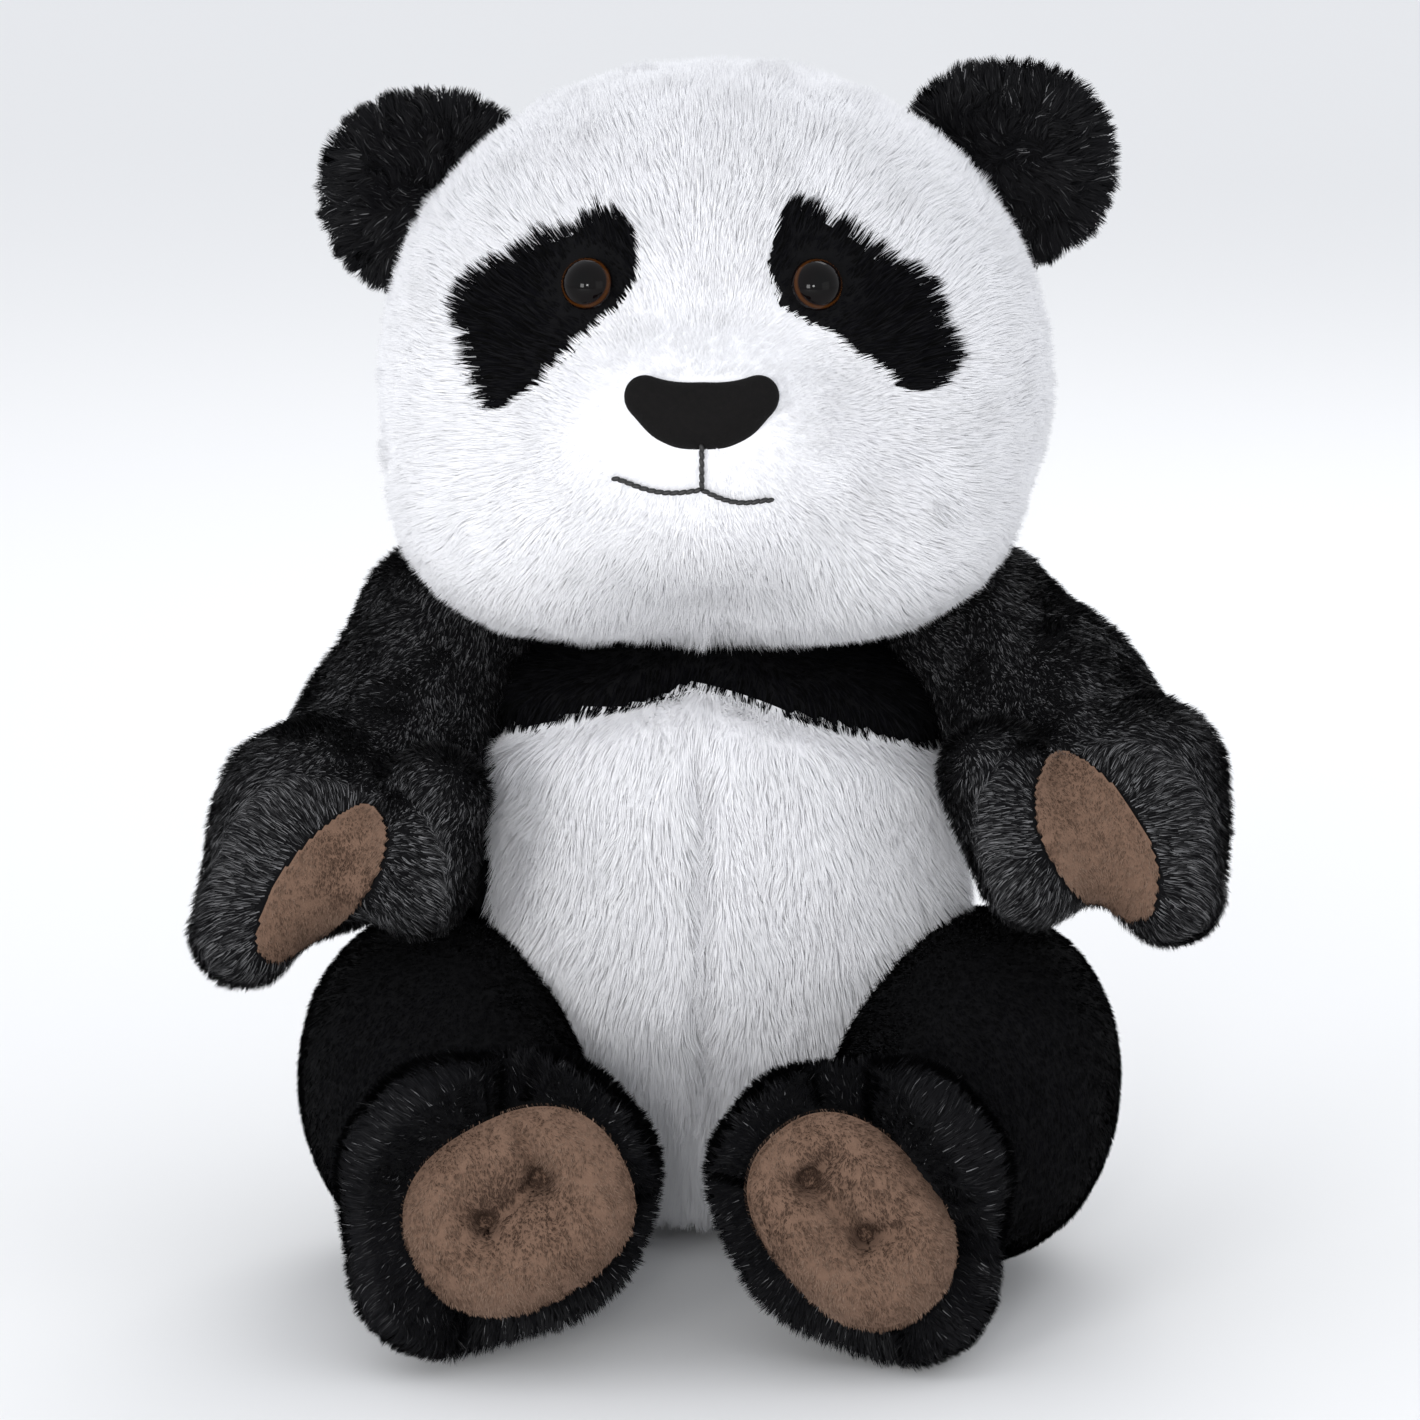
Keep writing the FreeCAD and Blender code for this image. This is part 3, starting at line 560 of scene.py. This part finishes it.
head.make("head_skin", WHITE_BACKING, "head", "white_pile", 0.8,
          ("head_stuffing", "head_back_panel", "forehead_panel", "cheek_panel_left", "cheek_panel_right",
           "muzzle_panel"))
for tag, side in SIDES:
    half = lambda p, side=side: np.where(p[:, 0] * side >= 0, on_white(p), 0)
    front = lambda p, half=half: np.where(p[:, 1] < HEAD[1], half(p), 0)
    rear = lambda p, half=half: np.where(p[:, 1] >= HEAD[1], half(p), 0)
    grow("cheek_pile_" + tag, head, HEAD_PILE, head_comb, "head", WHITE_PILE,
         11 + int(side), zone=front, length=face_length, round_off=WHITE_ROUND_OFF)
    grow("head_back_pile_" + tag, head, HEAD_PILE, head_comb, "head", WHITE_PILE,
         15 + int(side), zone=rear, round_off=WHITE_ROUND_OFF)
    spot = lambda p, tag=tag: np.where(PATCH_DEPTHS[tag](p) >= 0, face_clear(p), 0)
    grow("eye_patch_pile_" + tag, head, EYE_PATCH_PILE, head_comb, "head", BLACK_PILE,
         21 + int(side), zone=spot, length=face_length)


for tag, side in SIDES:
    patch = head.patch(lambda p: PATCH_DEPTHS[tag](p) + 0.2, lift=0.3)
    patch.make("eye_patch_skin_" + tag, BLACK_BACKING, "head", "black_pile", stands_for=("eye_patch_" + tag,))


# ---- face details ----

def on_face(x, z):
    """The point of the face's skin at x and z, looking from the front."""
    low, high = np.array(((x, -90.0, z),)), np.array(((x, -10.0, z),))
    for _ in range(30):
        half = (low + high) / 2
        if HEAD_FORM(half)[0] < 0:
            high = half
        else:
            low = half
    return low[0]


def thread(name, lines, radius, stitch, material, body, stands_for=()):
    """Embroidery: short overlapping stitches laid along lines of points."""
    verts, faces = [], []
    around = 8
    profile = ((0.0, 0.35), (0.12, 0.75), (0.35, 1.0), (0.65, 1.0), (0.88, 0.75), (1.0, 0.35))
    for line in lines:
        line = np.array(line)
        lengths = np.concatenate(([0], np.cumsum(np.linalg.norm(np.diff(line, axis=0), axis=1))))
        count = max(1, round(lengths[-1] / stitch))
        for i in range(count):
            ends = [(i - 0.15) / count * lengths[-1], (i + 1.15) / count * lengths[-1]]
            a, b = (np.array([np.interp(e, lengths, line[:, k]) for k in range(3)]) for e in ends)
            way = unit(b - a)
            across = unit(np.cross(way, FRONT))
            a, b = a + across * 0.18, b - across * 0.18
            rise = np.cross(across, way)
            base = len(verts)
            for t, share in profile:
                for k in range(around):
                    angle = 2 * math.pi * k / around
                    offset = across * math.cos(angle) + rise * math.sin(angle)
                    verts.append(a + (b - a) * t + offset * radius * share)
            for ring in range(len(profile) - 1):
                for k in range(around):
                    p, q = base + ring * around + k, base + ring * around + (k + 1) % around
                    faces.append((p, q, q + around, p + around))
            faces.append(tuple(base + k for k in reversed(range(around))))
            faces.append(tuple(base + (len(profile) - 1) * around + k for k in range(around)))
    obj = new_mesh(name, np.array(verts), faces, [material])
    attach(obj, body)
    if stands_for:
        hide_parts(*stands_for)
    return obj


def nose():
    y = on_face(NOSE[0], NOSE[2])[1]
    corner = 4.0
    form = melt(
        2.5,
        *(limb((NOSE[0] + way * 11.0, y + 1.2, NOSE[2] + 3.2), corner,
               (NOSE[0] + way * 3.0, y + 1.0, NOSE[2] - 1.0), 5.0) for way in (1, -1)),
        lump((NOSE[0], y + 0.8, NOSE[2] - 0.8), (11.5, 4.6, 6.6)),
    )
    pad = inflate(form, np.array((NOSE[0], y + 1.0, NOSE[2])), reach=30.0)
    pad.make("nose_pad", NOSE_BACKING, "head", "nose_velour", 0.8, ("nose",))
    grow("nose_pile", pad, NOSE_VELOUR, along((0, 0, -1)),
         "head", NOSE_PILE, 31, zone=lambda p: (p[:, 1] < y + 2).astype(float))


def mouth_lines():
    """The upright stitch and the two lip arcs, lying on the short pile."""
    lip, tip = middle("mouth_stitching")[2] - 3.0, NOSE[2] - 5.5
    proud = np.array((0, -1.3, 0))
    upright = [on_face(NOSE[0], z) + proud for z in np.linspace(tip, lip, 12)]
    lines = [upright]
    for reach, sag, lift in ((-17.5, 2.4, 1.6), (14.0, 2.4, -2.6)):
        arc = []
        for t in np.linspace(0, 1, 24):
            z = lip - sag * math.sin(math.pi * min(1, t * 1.1)) * 0.6 + lift * t
            arc.append(on_face(NOSE[0] + reach * t, z) + proud)
        lines.append(arc)
    return lines


MOUTH = mouth_lines()
MOUTH_THREAD = knit("mouth_thread", (0.006, 0.006, 0.006), (0.016, 0.015, 0.015), 0.5, 0.25, 0.05)
thread("mouth_thread", MOUTH, 0.5, 1.5, MOUTH_THREAD, "head", ("mouth_stitching",))
nose()


def eye_gloss(tag):
    """A glossy black dome with a thin brown ring near its edge."""
    material = principled("eye_gloss_" + tag, (0.004, 0.003, 0.003), 0.04, IOR=1.22)
    tree = material.node_tree
    shader = tree.nodes["Principled BSDF"]
    centre, out = eye_axis(tag)
    place = tree.nodes.new("ShaderNodeTexCoord")
    shift = tree.nodes.new("ShaderNodeVectorMath")
    shift.operation = "SUBTRACT"
    shift.inputs[1].default_value = centre * MM
    turn = tree.nodes.new("ShaderNodeVectorMath")
    turn.operation = "CROSS_PRODUCT"
    turn.inputs[1].default_value = out
    far = tree.nodes.new("ShaderNodeVectorMath")
    far.operation = "LENGTH"
    scale = tree.nodes.new("ShaderNodeMath")
    scale.operation = "DIVIDE"
    scale.inputs[1].default_value = 6.0 * MM
    ring = tree.nodes.new("ShaderNodeValToRGB")
    stops = ((0.0, (0.002, 0.002, 0.002)), (0.72, (0.003, 0.002, 0.002)), (0.77, (0.05, 0.016, 0.003)),
             (0.80, (0.05, 0.016, 0.003)), (0.84, (0.003, 0.002, 0.002)))
    while len(ring.color_ramp.elements) < len(stops):
        ring.color_ramp.elements.new(0.5)
    for element, (position, color) in zip(ring.color_ramp.elements, stops):
        element.position = position
        element.color = (*color, 1)
    link = tree.links.new
    link(place.outputs["Object"], shift.inputs[0])
    link(shift.outputs["Vector"], turn.inputs[0])
    link(turn.outputs["Vector"], far.inputs[0])
    link(far.outputs["Value"], scale.inputs[0])
    link(scale.outputs["Value"], ring.inputs["Fac"])
    link(ring.outputs["Color"], shader.inputs["Base Color"])
    return material


def repaint(node, material):
    mesh = frame["nodes"][node].data
    mesh.materials.clear()
    mesh.materials.append(material)


WASHER = knit("washer_plastic", (0.7, 0.7, 0.68), (0.78, 0.78, 0.76), 0.45, 1.5, 0.02)
for tag, side in SIDES:
    repaint("eye_" + tag, eye_gloss(tag))
    repaint("eye_washer_" + tag, WASHER)


# ---- trunk ----

TORSO = middle("belly_panel_left", "belly_panel_right", "back_panel_left", "back_panel_right")
TORSO = np.array((0.0, TORSO[1], 58.0))
YOKE_TOP = 122.5     # the height of the yoke's lower edge at the middle of the chest
YOKE_DROP = 12.5     # how much lower it lies YOKE_REACH millimetres to the side
YOKE_REACH = 42.0


def thigh_form(tag, side):
    foot = middle("foot_cover_" + tag)
    knee = (side * 48.0, -17.0, 33.0)
    return melt(
        12.0,
        lump((side * 55.5, 3.0, 40.5), (28.0, 41.0, 33.0), power=2.1, down=34.0),
        limb(knee, 24.0, (foot[0], foot[1] + 18.0, foot[2]), 21.0),
    )


# where each arm's parts lie from the middle of its paw pad: across, forwards (-), up
ARM_SHAPES = {
    "left": dict(elbow=(-9.0, 57.0, 15.5), wrist=(1.0, 32.0, 4.0),
                 outer=((10.0, 33.0, 9.0), (13.0, 22.0, -12.0)),
                 inner=((-22.5, 21.0, 12.0), (-14.5, 19.0, -7.5)), pad=(-2.4, 0.0), turn=58.0,
                 pad_size=(18.0, 9.2)),
    "right": dict(elbow=(-14.0, 57.0, 13.0), wrist=(-1.0, 32.0, 2.0),
                  outer=((4.5, 33.0, 9.0), (14.0, 22.0, -15.0)),
                  inner=((-24.0, 19.0, 12.5), (-20.5, 18.0, -3.5)), pad=(-2.0, -3.5), turn=51.5,
                  pad_size=(18.5, 7.8)),
}


def arm_form(tag, side):
    """A bulky sleeve whose paw folds round its pad: a palm with a lobe on each side."""
    shape = ARM_SHAPES[tag]
    flip = np.array((side, 1, 1))
    at = lambda offset: middle("paw_pad_" + tag) + np.array(offset) * flip
    hinge = pivot(f"arm_{tag}_swing")
    outer, inner = [at(o) for o in shape["outer"]], [at(o) for o in shape["inner"]]
    return melt(
        9.0,
        limb(hinge + np.array((side * 3.5, -9.0, 6.0)), 19.0, at(shape["elbow"]), 19.0),
        limb(at(shape["elbow"]), 19.0, at(shape["wrist"]), 18.5),
        limb(outer[0], 14.0, outer[1], 10.5),
        limb(inner[0], 10.5, inner[1], 10.5),
    )


def palm_place(tag, side):
    across, up = ARM_SHAPES[tag]["pad"]
    return middle("paw_pad_" + tag) + np.array((side * across, 6.0, up))


def palm_axes(tag, side):
    """The pad's long direction, down and out, and the direction across it, outwards."""
    angle = math.radians(ARM_SHAPES[tag]["turn"])
    down = np.array((side * math.cos(angle), 0, -math.sin(angle)))
    across = np.array((side * math.sin(angle), 0, math.cos(angle)))
    return down, across


THIGHS = {tag: thigh_form(tag, side) for tag, side in SIDES}
ARMS = {tag: arm_form(tag, side) for tag, side in SIDES}


def belly_crease(p):
    """The belly's middle seam pulls in, and so does the line where the yoke is sewn on."""
    front = ramp(TORSO[1] - p[:, 1], 10.0, 25.0)
    seam = 2.6 * np.exp(-((p[:, 0] + 1.5) / 2.6) ** 2) * ramp(p[:, 2], 20.0, 40.0)
    seam *= 1 - ramp(p[:, 2], 104.0, 118.0)
    yoke = 1.8 * np.exp(-((p[:, 2] - yoke_edge(p)) / 3.5) ** 2)
    return front * (seam + yoke)


def yoke_edge(p):
    """The height of the seam between the white belly and the black chest."""
    return YOKE_TOP - YOKE_DROP * (np.abs(p[:, 0] + 3.0) / YOKE_REACH) ** 1.1


TORSO_FORM = melt(
    16.0,
    lump(TORSO, (49.0, 43.0, 68.0), power=2.2, down=55.0),
    lump((0, 22, 109), (47, 29, 22)),
    lump((4, 12, 76), (43, 20, 34)),
)
torso = inflate(carved(pressed(TORSO_FORM, belly_crease), 1.0, *THIGHS.values()), TORSO, detail=7, floor=1.5)
torso.make("trunk_skin", BLACK_BACKING, "torso", "black_pile", 0.8,
           ("torso_stuffing", "seat_panel", "chest_yoke", "belly_panel_left", "belly_panel_right",
            "back_panel_left", "back_panel_right"))


def in_belly(p):
    """Above 0 on the white belly: in front of the side seams and below the yoke."""
    wobble = noise(p, 6.0, 7)[:, 0] * 1.3
    across = 47.0 - np.abs(p[:, 0] - 4.0)
    return np.minimum(np.minimum(yoke_edge(p) - p[:, 2], 22.0 - p[:, 1]), across) + wobble


def falling(p, n):
    """Brushed down the trunk, and a little outwards."""
    return np.stack([p[:, 0] * 0.006, np.full(len(p), -0.1), np.full(len(p), -1.0)], axis=1)


belly = torso.patch(lambda p: in_belly(p) + 1.0, lift=0.5)
belly.make("belly_skin", WHITE_BACKING, "torso", "white_pile")
for tag, side in SIDES:
    grow("belly_pile_" + tag, torso, BELLY_PILE, falling, "torso", WHITE_PILE, 41 + int(side),
         zone=lambda p: (in_belly(p) > 0) * (p[:, 0] * side >= 0) * 1.0, round_off=WHITE_ROUND_OFF)
    grow("back_pile_" + tag, torso, COAT_PILE, falling, "torso", DARK_PILE_PAINTED_GLINTS, 45 + int(side),
         zone=lambda p: (in_belly(p) <= 0) * (p[:, 0] * side >= 0) * (p[:, 1] > TORSO[1]) * 1.0,
         weights=DARK_TONES)
grow("chest_pile", torso, CHEST_PILE, falling, "torso", BLACK_PILE, 48,
     zone=lambda p: (in_belly(p) <= 0) * (p[:, 1] <= TORSO[1]) * 1.0)


# ---- neck ----

def neck():
    """The gathered neck that the head turns on, pleated by its drawstring."""
    centre = pivot("neck_turn")
    radius = (span("neck_stuffing")[1] - span("neck_stuffing")[0])[0] / 2 - 1.0
    ball_form = lump(centre, (radius, radius, radius))

    def pleats(p):
        angle = np.arctan2(p[:, 1] - centre[1], p[:, 0] - centre[0])
        return 0.6 * (1 + np.cos(angle * 18.0)) * ramp(p[:, 2], centre[2] - 12.0, centre[2] + 12.0)

    gather = inflate(pressed(ball_form, pleats), centre, reach=60.0)
    gather.make("neck_gather", BLACK_BACKING, "neck", "black_pile", 0.9, ("neck_stuffing",))
    grow("neck_pile", gather, NECK_PILE, along((0, 0, -1)), "neck",
         BLACK_PILE, 49, zone=lambda p: (p[:, 2] > centre[2] - 14.0) * 1.0)


neck()


# ---- ears ----

EAR_INSET = {"left": 20.5, "right": 23.5}   # from an ear's outer edge to its middle
EAR_DROP = 18.0       # from its top to its middle
EAR_FORWARD = 10.0    # how far it stands in front of the middle of its panels


def ear(tag, side):
    """A round ear of shaggy pile, with a stalk down to its sewn root."""
    panels = ("ear_front_" + tag, "ear_back_" + tag)
    low, high = span(*panels)
    edge = high[0] if side > 0 else low[0]
    centre = np.array((edge - side * EAR_INSET[tag], middle(*panels)[1] - EAR_FORWARD, high[2] - EAR_DROP))
    root = centre - np.array((side * 12.0, 3.0, 11.0))
    form = melt(
        6.0,
        lump(centre, (20.0, 8.0, 18.8), power=2.2),
        limb(root, 8.0, centre - np.array((side * 4.0, 0, 3.0)), 7.0),
    )
    skin = inflate(form, centre, reach=50.0)
    skin.make("ear_skin_" + tag, BLACK_BACKING, "ear_" + tag, "black_pile", 0.4,
              ("ear_stuffing_" + tag, "ear_front_" + tag, "ear_back_" + tag))
    outward = lambda p, n: (p - centre) * np.array((1, 0.2, 1)) + noise(p, 6.0, 3) * 9.0
    grow("ear_pile_" + tag, skin, EAR_PILE, outward, "ear_" + tag, DARK_PILE_PAINTED_GLINTS,
         51 + int(side), weights=DARK_TONES)


for tag, side in SIDES:
    ear(tag, side)


# ---- arms ----

def arm(tag, side):
    palm = palm_place(tag, side)
    down, across = palm_axes(tag, side)
    form = ARMS[tag]
    hinge = pivot(f"arm_{tag}_swing")
    skin = inflate(form, np.array((side * 72.0, 0.0, palm[2] + 9.0)), detail=7, reach=110.0)
    body = "arm_" + tag
    nodes = ("arm_stuffing_" + tag, "sleeve_back_" + tag, "sleeve_palm_" + tag)
    skin.make("sleeve_skin_" + tag, BLACK_BACKING, body, "black_pile", 0.7, nodes)
    half_long, half_wide = ARM_SHAPES[tag]["pad_size"]

    def on_pad(p):
        """Above 0 inside the pad's leaf outline."""
        q = p - palm
        u, v = q @ down / half_long, q @ across / half_wide
        return np.where(p[:, 1] < palm[1] + 20.0, 1 - np.abs(u) ** 2.2 - np.abs(v) ** 1.8, -1.0)

    pad = skin.patch(lambda p: on_pad(p) + 0.1, lift=0.7)
    pad.make("paw_pad_skin_" + tag, BROWN_BACKING, body, "brown_plush", stands_for=("paw_pad_" + tag,))
    grow("paw_pad_pile_" + tag, pad, PAW_PAD_PILE, along((0, 0, -1)),
         body, BROWN_PILE, 61 + int(side), shade=clouded(8.0, 63))

    def brushed(p, n):
        """Down the sleeve, then off the end of the paw and away from the pad."""
        sleeve = np.array(palm + down * 20.0 - hinge)
        q = p - palm
        off = (q @ across)[:, None] * across + (q @ down)[:, None] * down * 0.6
        near = (1 - ramp(np.linalg.norm(q, axis=1), 16.0, 34.0))[:, None]
        return unit(sleeve[None]) * (1 - near) + unit(off + FRONT * 6.0) * near

    grow("sleeve_pile_" + tag, skin, COAT_PILE, brushed, body, DARK_PILE_PAINTED_GLINTS, 65 + int(side),
         zone=lambda p: (on_pad(p) < 0) * 1.0, weights=SLEEVE_TONES_PAINTED_SHEEN)


for tag, side in SIDES:
    arm(tag, side)


# ---- legs ----

# Each foot from the front, across and up, in millimetres. shift moves its middle from its cover's, and
# the rest is placed from there. The dimples and creases are placed from the middle of the sole.
FEET = {
    "left": dict(shift=(-1.0, -1.0), half=(24.5, 24.5), toe=(6.0, 11.0), sole=(-2.0, 0.0), turn=-50.0,
                 sole_half=(22.5, 16.5), dimples=((-8.5, 8.0), (2.5, -3.0)),
                 creases=(((-8.5, 8.0), (-3.5, 14.0)), ((-8.5, 8.0), (2.5, -3.0)),
                          ((2.5, -3.0), (9.0, -1.0)))),
    "right": dict(shift=(-2.0, 0.5), half=(28.0, 24.5), toe=(-9.0, -13.0), sole=(4.0, 0.5), turn=28.0,
                  sole_half=(22.5, 18.5), dimples=((4.0, 6.0), (-6.5, -2.5)),
                  creases=(((4.0, 6.0), (0.0, 17.0)), ((4.0, 6.0), (-6.5, -2.5)),
                           ((-6.5, -2.5), (-11.0, 1.0)))),
}
FOOT_TILT = math.radians(7.0)
FOOT_OUT = np.array((0, -math.cos(FOOT_TILT), math.sin(FOOT_TILT)))   # the way the soles face
FOOT_HIGH = np.array((0, math.sin(FOOT_TILT), math.cos(FOOT_TILT)))
FOOT_WIDE = np.array((1.0, 0, 0))
FOOT_DEEP = 13.0       # half the foot's thickness
SOLE_EDGE = 9.5        # how far in front of the foot's middle the sole's edge lies
SOLE_CROWN = 7.5       # how far the sole's middle bulges past its edge
SOLE_POWER = 2.4       # 2 is an oval outline, and more is squarer
SOLE_BACK = 2.0        # how far the sole's hidden back bulges
PINCH = (3.2, 2.2)     # how deep and how wide the thread pulls in, right at a dimple
HOLLOW = (4.4, 8.5)    # the same for the wide hollow round it
CREASE = (3.2, 1.9)    # the same for a crease
CREASE_FADE = 0.6      # the share of its depth that a crease has lost by its end


def foot_point(start, place, out=0.0):
    """The point that lies across, up and out from start, along the tilted foot."""
    return start + FOOT_WIDE * place[0] + FOOT_HIGH * place[1] + FOOT_OUT * out


def dent(away, depth, width):
    """A smooth dent, depth deep in its middle and fading over width."""
    return depth * np.exp(-(away / width) ** 2)


class Sole:
    """A padded brown sole: where it lies, its outline, and how far its stitching pulls it in."""

    def __init__(self, tag):
        facts = FEET[tag]
        self.dimples, self.creases = facts["dimples"], facts["creases"]
        self.half = facts["sole_half"]
        self.foot = foot_point(middle("foot_cover_" + tag), facts["shift"])
        self.centre = foot_point(self.foot, facts["sole"])
        spin = math.radians(facts["turn"])
        self.along = FOOT_WIDE * math.cos(spin) + FOOT_HIGH * math.sin(spin)
        self.across = -FOOT_WIDE * math.sin(spin) + FOOT_HIGH * math.cos(spin)

    def off(self, p):
        """0 in the middle of the sole and 1 on its edge."""
        q = p - self.centre
        u, v = np.abs(q @ self.along / self.half[0]), np.abs(q @ self.across / self.half[1])
        return (u ** SOLE_POWER + v ** SOLE_POWER) ** (1 / SOLE_POWER)

    def sink(self, p):
        """How deep the stitching pulls the sole in, in millimetres."""
        q = np.stack([(p - self.centre) @ FOOT_WIDE, (p - self.centre) @ FOOT_HIGH], axis=1)
        depth = np.zeros(len(p))
        for place in self.dimples:
            away = np.linalg.norm(q - place, axis=1)
            depth += dent(away, *PINCH) + dent(away, *HOLLOW)
        for start, end in self.creases:
            start, line = np.array(start), np.array(end) - np.array(start)
            t = np.clip((q - start) @ line / (line @ line), 0, 1)
            away = np.linalg.norm(q - start - t[:, None] * line, axis=1)
            depth += dent(away, *CREASE) * (1 - CREASE_FADE * t)
        return depth

    def skin(self):
        """A flattened cushion with a crowned front, pulled in by its stitching."""
        directions, faces = BALLS[6]
        flat = directions[:, :2]
        spread = np.linalg.norm(flat, axis=1)
        around = flat / np.maximum(spread, 1e-9)[:, None]
        square = np.maximum((np.abs(around) ** SOLE_POWER).sum(axis=1), 1e-6) ** (-1 / SOLE_POWER)
        spread = np.clip(spread, 0, 1) ** 0.9
        u, v = (around * (square * spread)[:, None] * self.half).T
        front = directions[:, 2] > 0
        verts = self.centre + u[:, None] * self.along + v[:, None] * self.across
        crown = np.where(front, SOLE_CROWN, SOLE_BACK) * np.sign(directions[:, 2])
        height = SOLE_EDGE + crown * (1 - spread ** 4.0) - np.where(front, self.sink(verts), 0)
        return Skin(verts + height[:, None] * FOOT_OUT, faces)


def thigh_part(tag, side, body):
    thigh = inflate(THIGHS[tag], np.array((side * 53.0, -8.0, 35.0)), detail=7, reach=110.0, floor=1.5)
    thigh.make("thigh_skin_" + tag, BLACK_BACKING, body, "black_pile", 0.8,
               ("leg_stuffing_" + tag, "thigh_cover_" + tag))
    grow("thigh_pile_" + tag, thigh, THIGH_PILE,
         along((side * 0.2, -0.7, -0.6)), body, BLACK_PILE, 71 + int(side))


def foot_part(tag, side, body, sole):
    """A thick rim of black plush, dished where the sole is sewn in."""
    facts = FEET[tag]
    at = lambda across, up: foot_point(sole.foot, (across, up))
    half_wide, half_high = facts["half"]
    toe_high, toe_low = facts["toe"]
    rim = melt(
        12.0,
        lump(sole.foot, (half_wide, FOOT_DEEP, half_high), power=2.2, axes=(FOOT_WIDE, FOOT_OUT, FOOT_HIGH)),
        limb(at(-11.0, 14.0), 11.0, at(-15.0, 9.0), 11.0),
        limb(at(9.0, 15.0), 11.0, at(14.0, 9.0), 11.0),
        limb(at(toe_high, -4.0), 12.0, at(toe_low, -15.0), 11.0),
    )
    in_front = lambda p: (p - sole.foot) @ FOOT_OUT
    dish = lambda p: 9.0 * (1 - ramp(sole.off(p), 0.72, 1.0)) * (in_front(p) > 0)
    foot = inflate(pressed(rim, dish), sole.foot, reach=60.0, floor=1.5)
    foot.make("foot_skin_" + tag, BLACK_BACKING, body, "black_pile", 0.8, ("foot_cover_" + tag,))

    def splayed(p, n):
        q = p - sole.centre
        q = q - (q @ FOOT_OUT)[:, None] * FOOT_OUT
        return unit(q) * ramp(sole.off(p), 0.9, 1.3)[:, None] + FOOT_OUT * 0.5

    grow("foot_pile_" + tag, foot, FOOT_PILE, splayed, body,
         DARK_PILE_PAINTED_GLINTS, 81 + int(side), weights=DARK_TONES,
         zone=lambda p: ((sole.off(p) > 1.0) | (in_front(p) < 0)) * 1.0)


def leg(tag, side):
    body = "leg_" + tag
    sole = Sole(tag)
    thigh_part(tag, side, body)
    foot_part(tag, side, body, sole)
    skin = sole.skin()
    skin.make("sole_skin_" + tag, BROWN_BACKING, body, "brown_plush", 0.8, ("sole_pad_" + tag,))
    patches = clouded(11.0, 77)
    grow("sole_pile_" + tag, skin, SOLE_PILE,
         along((0.3, 0, -1)), body, BROWN_PILE, 75 + int(side),
         # the fibres take darker tones where the stitching pulls the sole in: painted shade in its dimples
         # and creases, laid over drifting random patches of tone
         shade=lambda p: patches(p) + 0.7 - 0.35 * sole.sink(p),
         zone=lambda p: ((p - sole.centre) @ FOOT_OUT > 4.0) * 1.0)
    ties = [[foot_point(sole.centre, (x, z - 1.5), 7.0), foot_point(sole.centre, (x, z + 1.5), 7.0)]
            for x, z in sole.dimples]
    thread("sole_tie_" + tag, ties, 0.45, 3.0, MOUTH_THREAD, body, ("sole_stitch_" + tag,))


for tag, side in SIDES:
    leg(tag, side)


# ---- stage ----

def area_light(name, place, target, width, power):
    light = bpy.data.lights.new(name, "AREA")
    light.shape = "SQUARE"
    light.size = width
    light.energy = power
    obj = bpy.data.objects.new(name, light)
    obj.location = place
    obj.rotation_euler = (Vector(target) - Vector(place)).to_track_quat("-Z", "Y").to_euler()
    bpy.context.scene.collection.objects.link(obj)


FLOOR_HALF = 6.0              # metres, like all of the stage
AIM = (0, 0.02, 0.11)         # what the lights point at
LIGHTS = (                    # name, place, width, watts
    ("key", (-0.6, -1.15, 0.3), 0.32, 5),
    ("catch", (-0.12, -1.2, 0.35), 0.16, 3),
    ("fill", (0.9, -0.9, 0.3), 0.7, 1),
    ("rim", (0.2, 0.8, 0.9), 0.6, 3),
)


def stage():
    """A pale floor and sky, and soft lights."""
    size = FLOOR_HALF
    verts = np.array(((-size, -size, 0), (size, -size, 0), (size, size, 0), (-size, size, 0))) / MM
    floor = new_mesh("floor", verts, [(0, 1, 2, 3)], [principled("pale_floor", (0.83, 0.83, 0.83), 0.9)])
    world = bpy.data.worlds.new("studio")
    world.use_nodes = True
    world.node_tree.nodes["Background"].inputs["Color"].default_value = (0.94, 0.96, 1, 1)
    world.node_tree.nodes["Background"].inputs["Strength"].default_value = 1.0
    bpy.context.scene.world = world
    bpy.context.scene.view_settings.view_transform = "Standard"
    for name, place, width, power in LIGHTS:
        area_light(name, place, AIM, width, power)


CAMERA_RISE = 12.0            # degrees above level
CAMERA_AWAY = 1.4             # metres from what it looks at
CAMERA_TARGET = (0, 0.020, 0.113)
FOCAL_LENGTH = 173.1          # millimetres


def camera():
    elevation = math.radians(CAMERA_RISE)
    distance = CAMERA_AWAY
    target = Vector(CAMERA_TARGET)
    lens = bpy.data.cameras.new("camera")
    lens.lens = FOCAL_LENGTH
    lens.sensor_width = 36.0
    lens.clip_start = 0.01
    obj = bpy.data.objects.new("camera", lens)
    obj.location = target + Vector((0, -math.cos(elevation), math.sin(elevation))) * distance
    obj.rotation_euler = (target - obj.location).to_track_quat("-Z", "Y").to_euler()
    bpy.context.scene.collection.objects.link(obj)
    bpy.context.scene.camera = obj


stage()
camera()
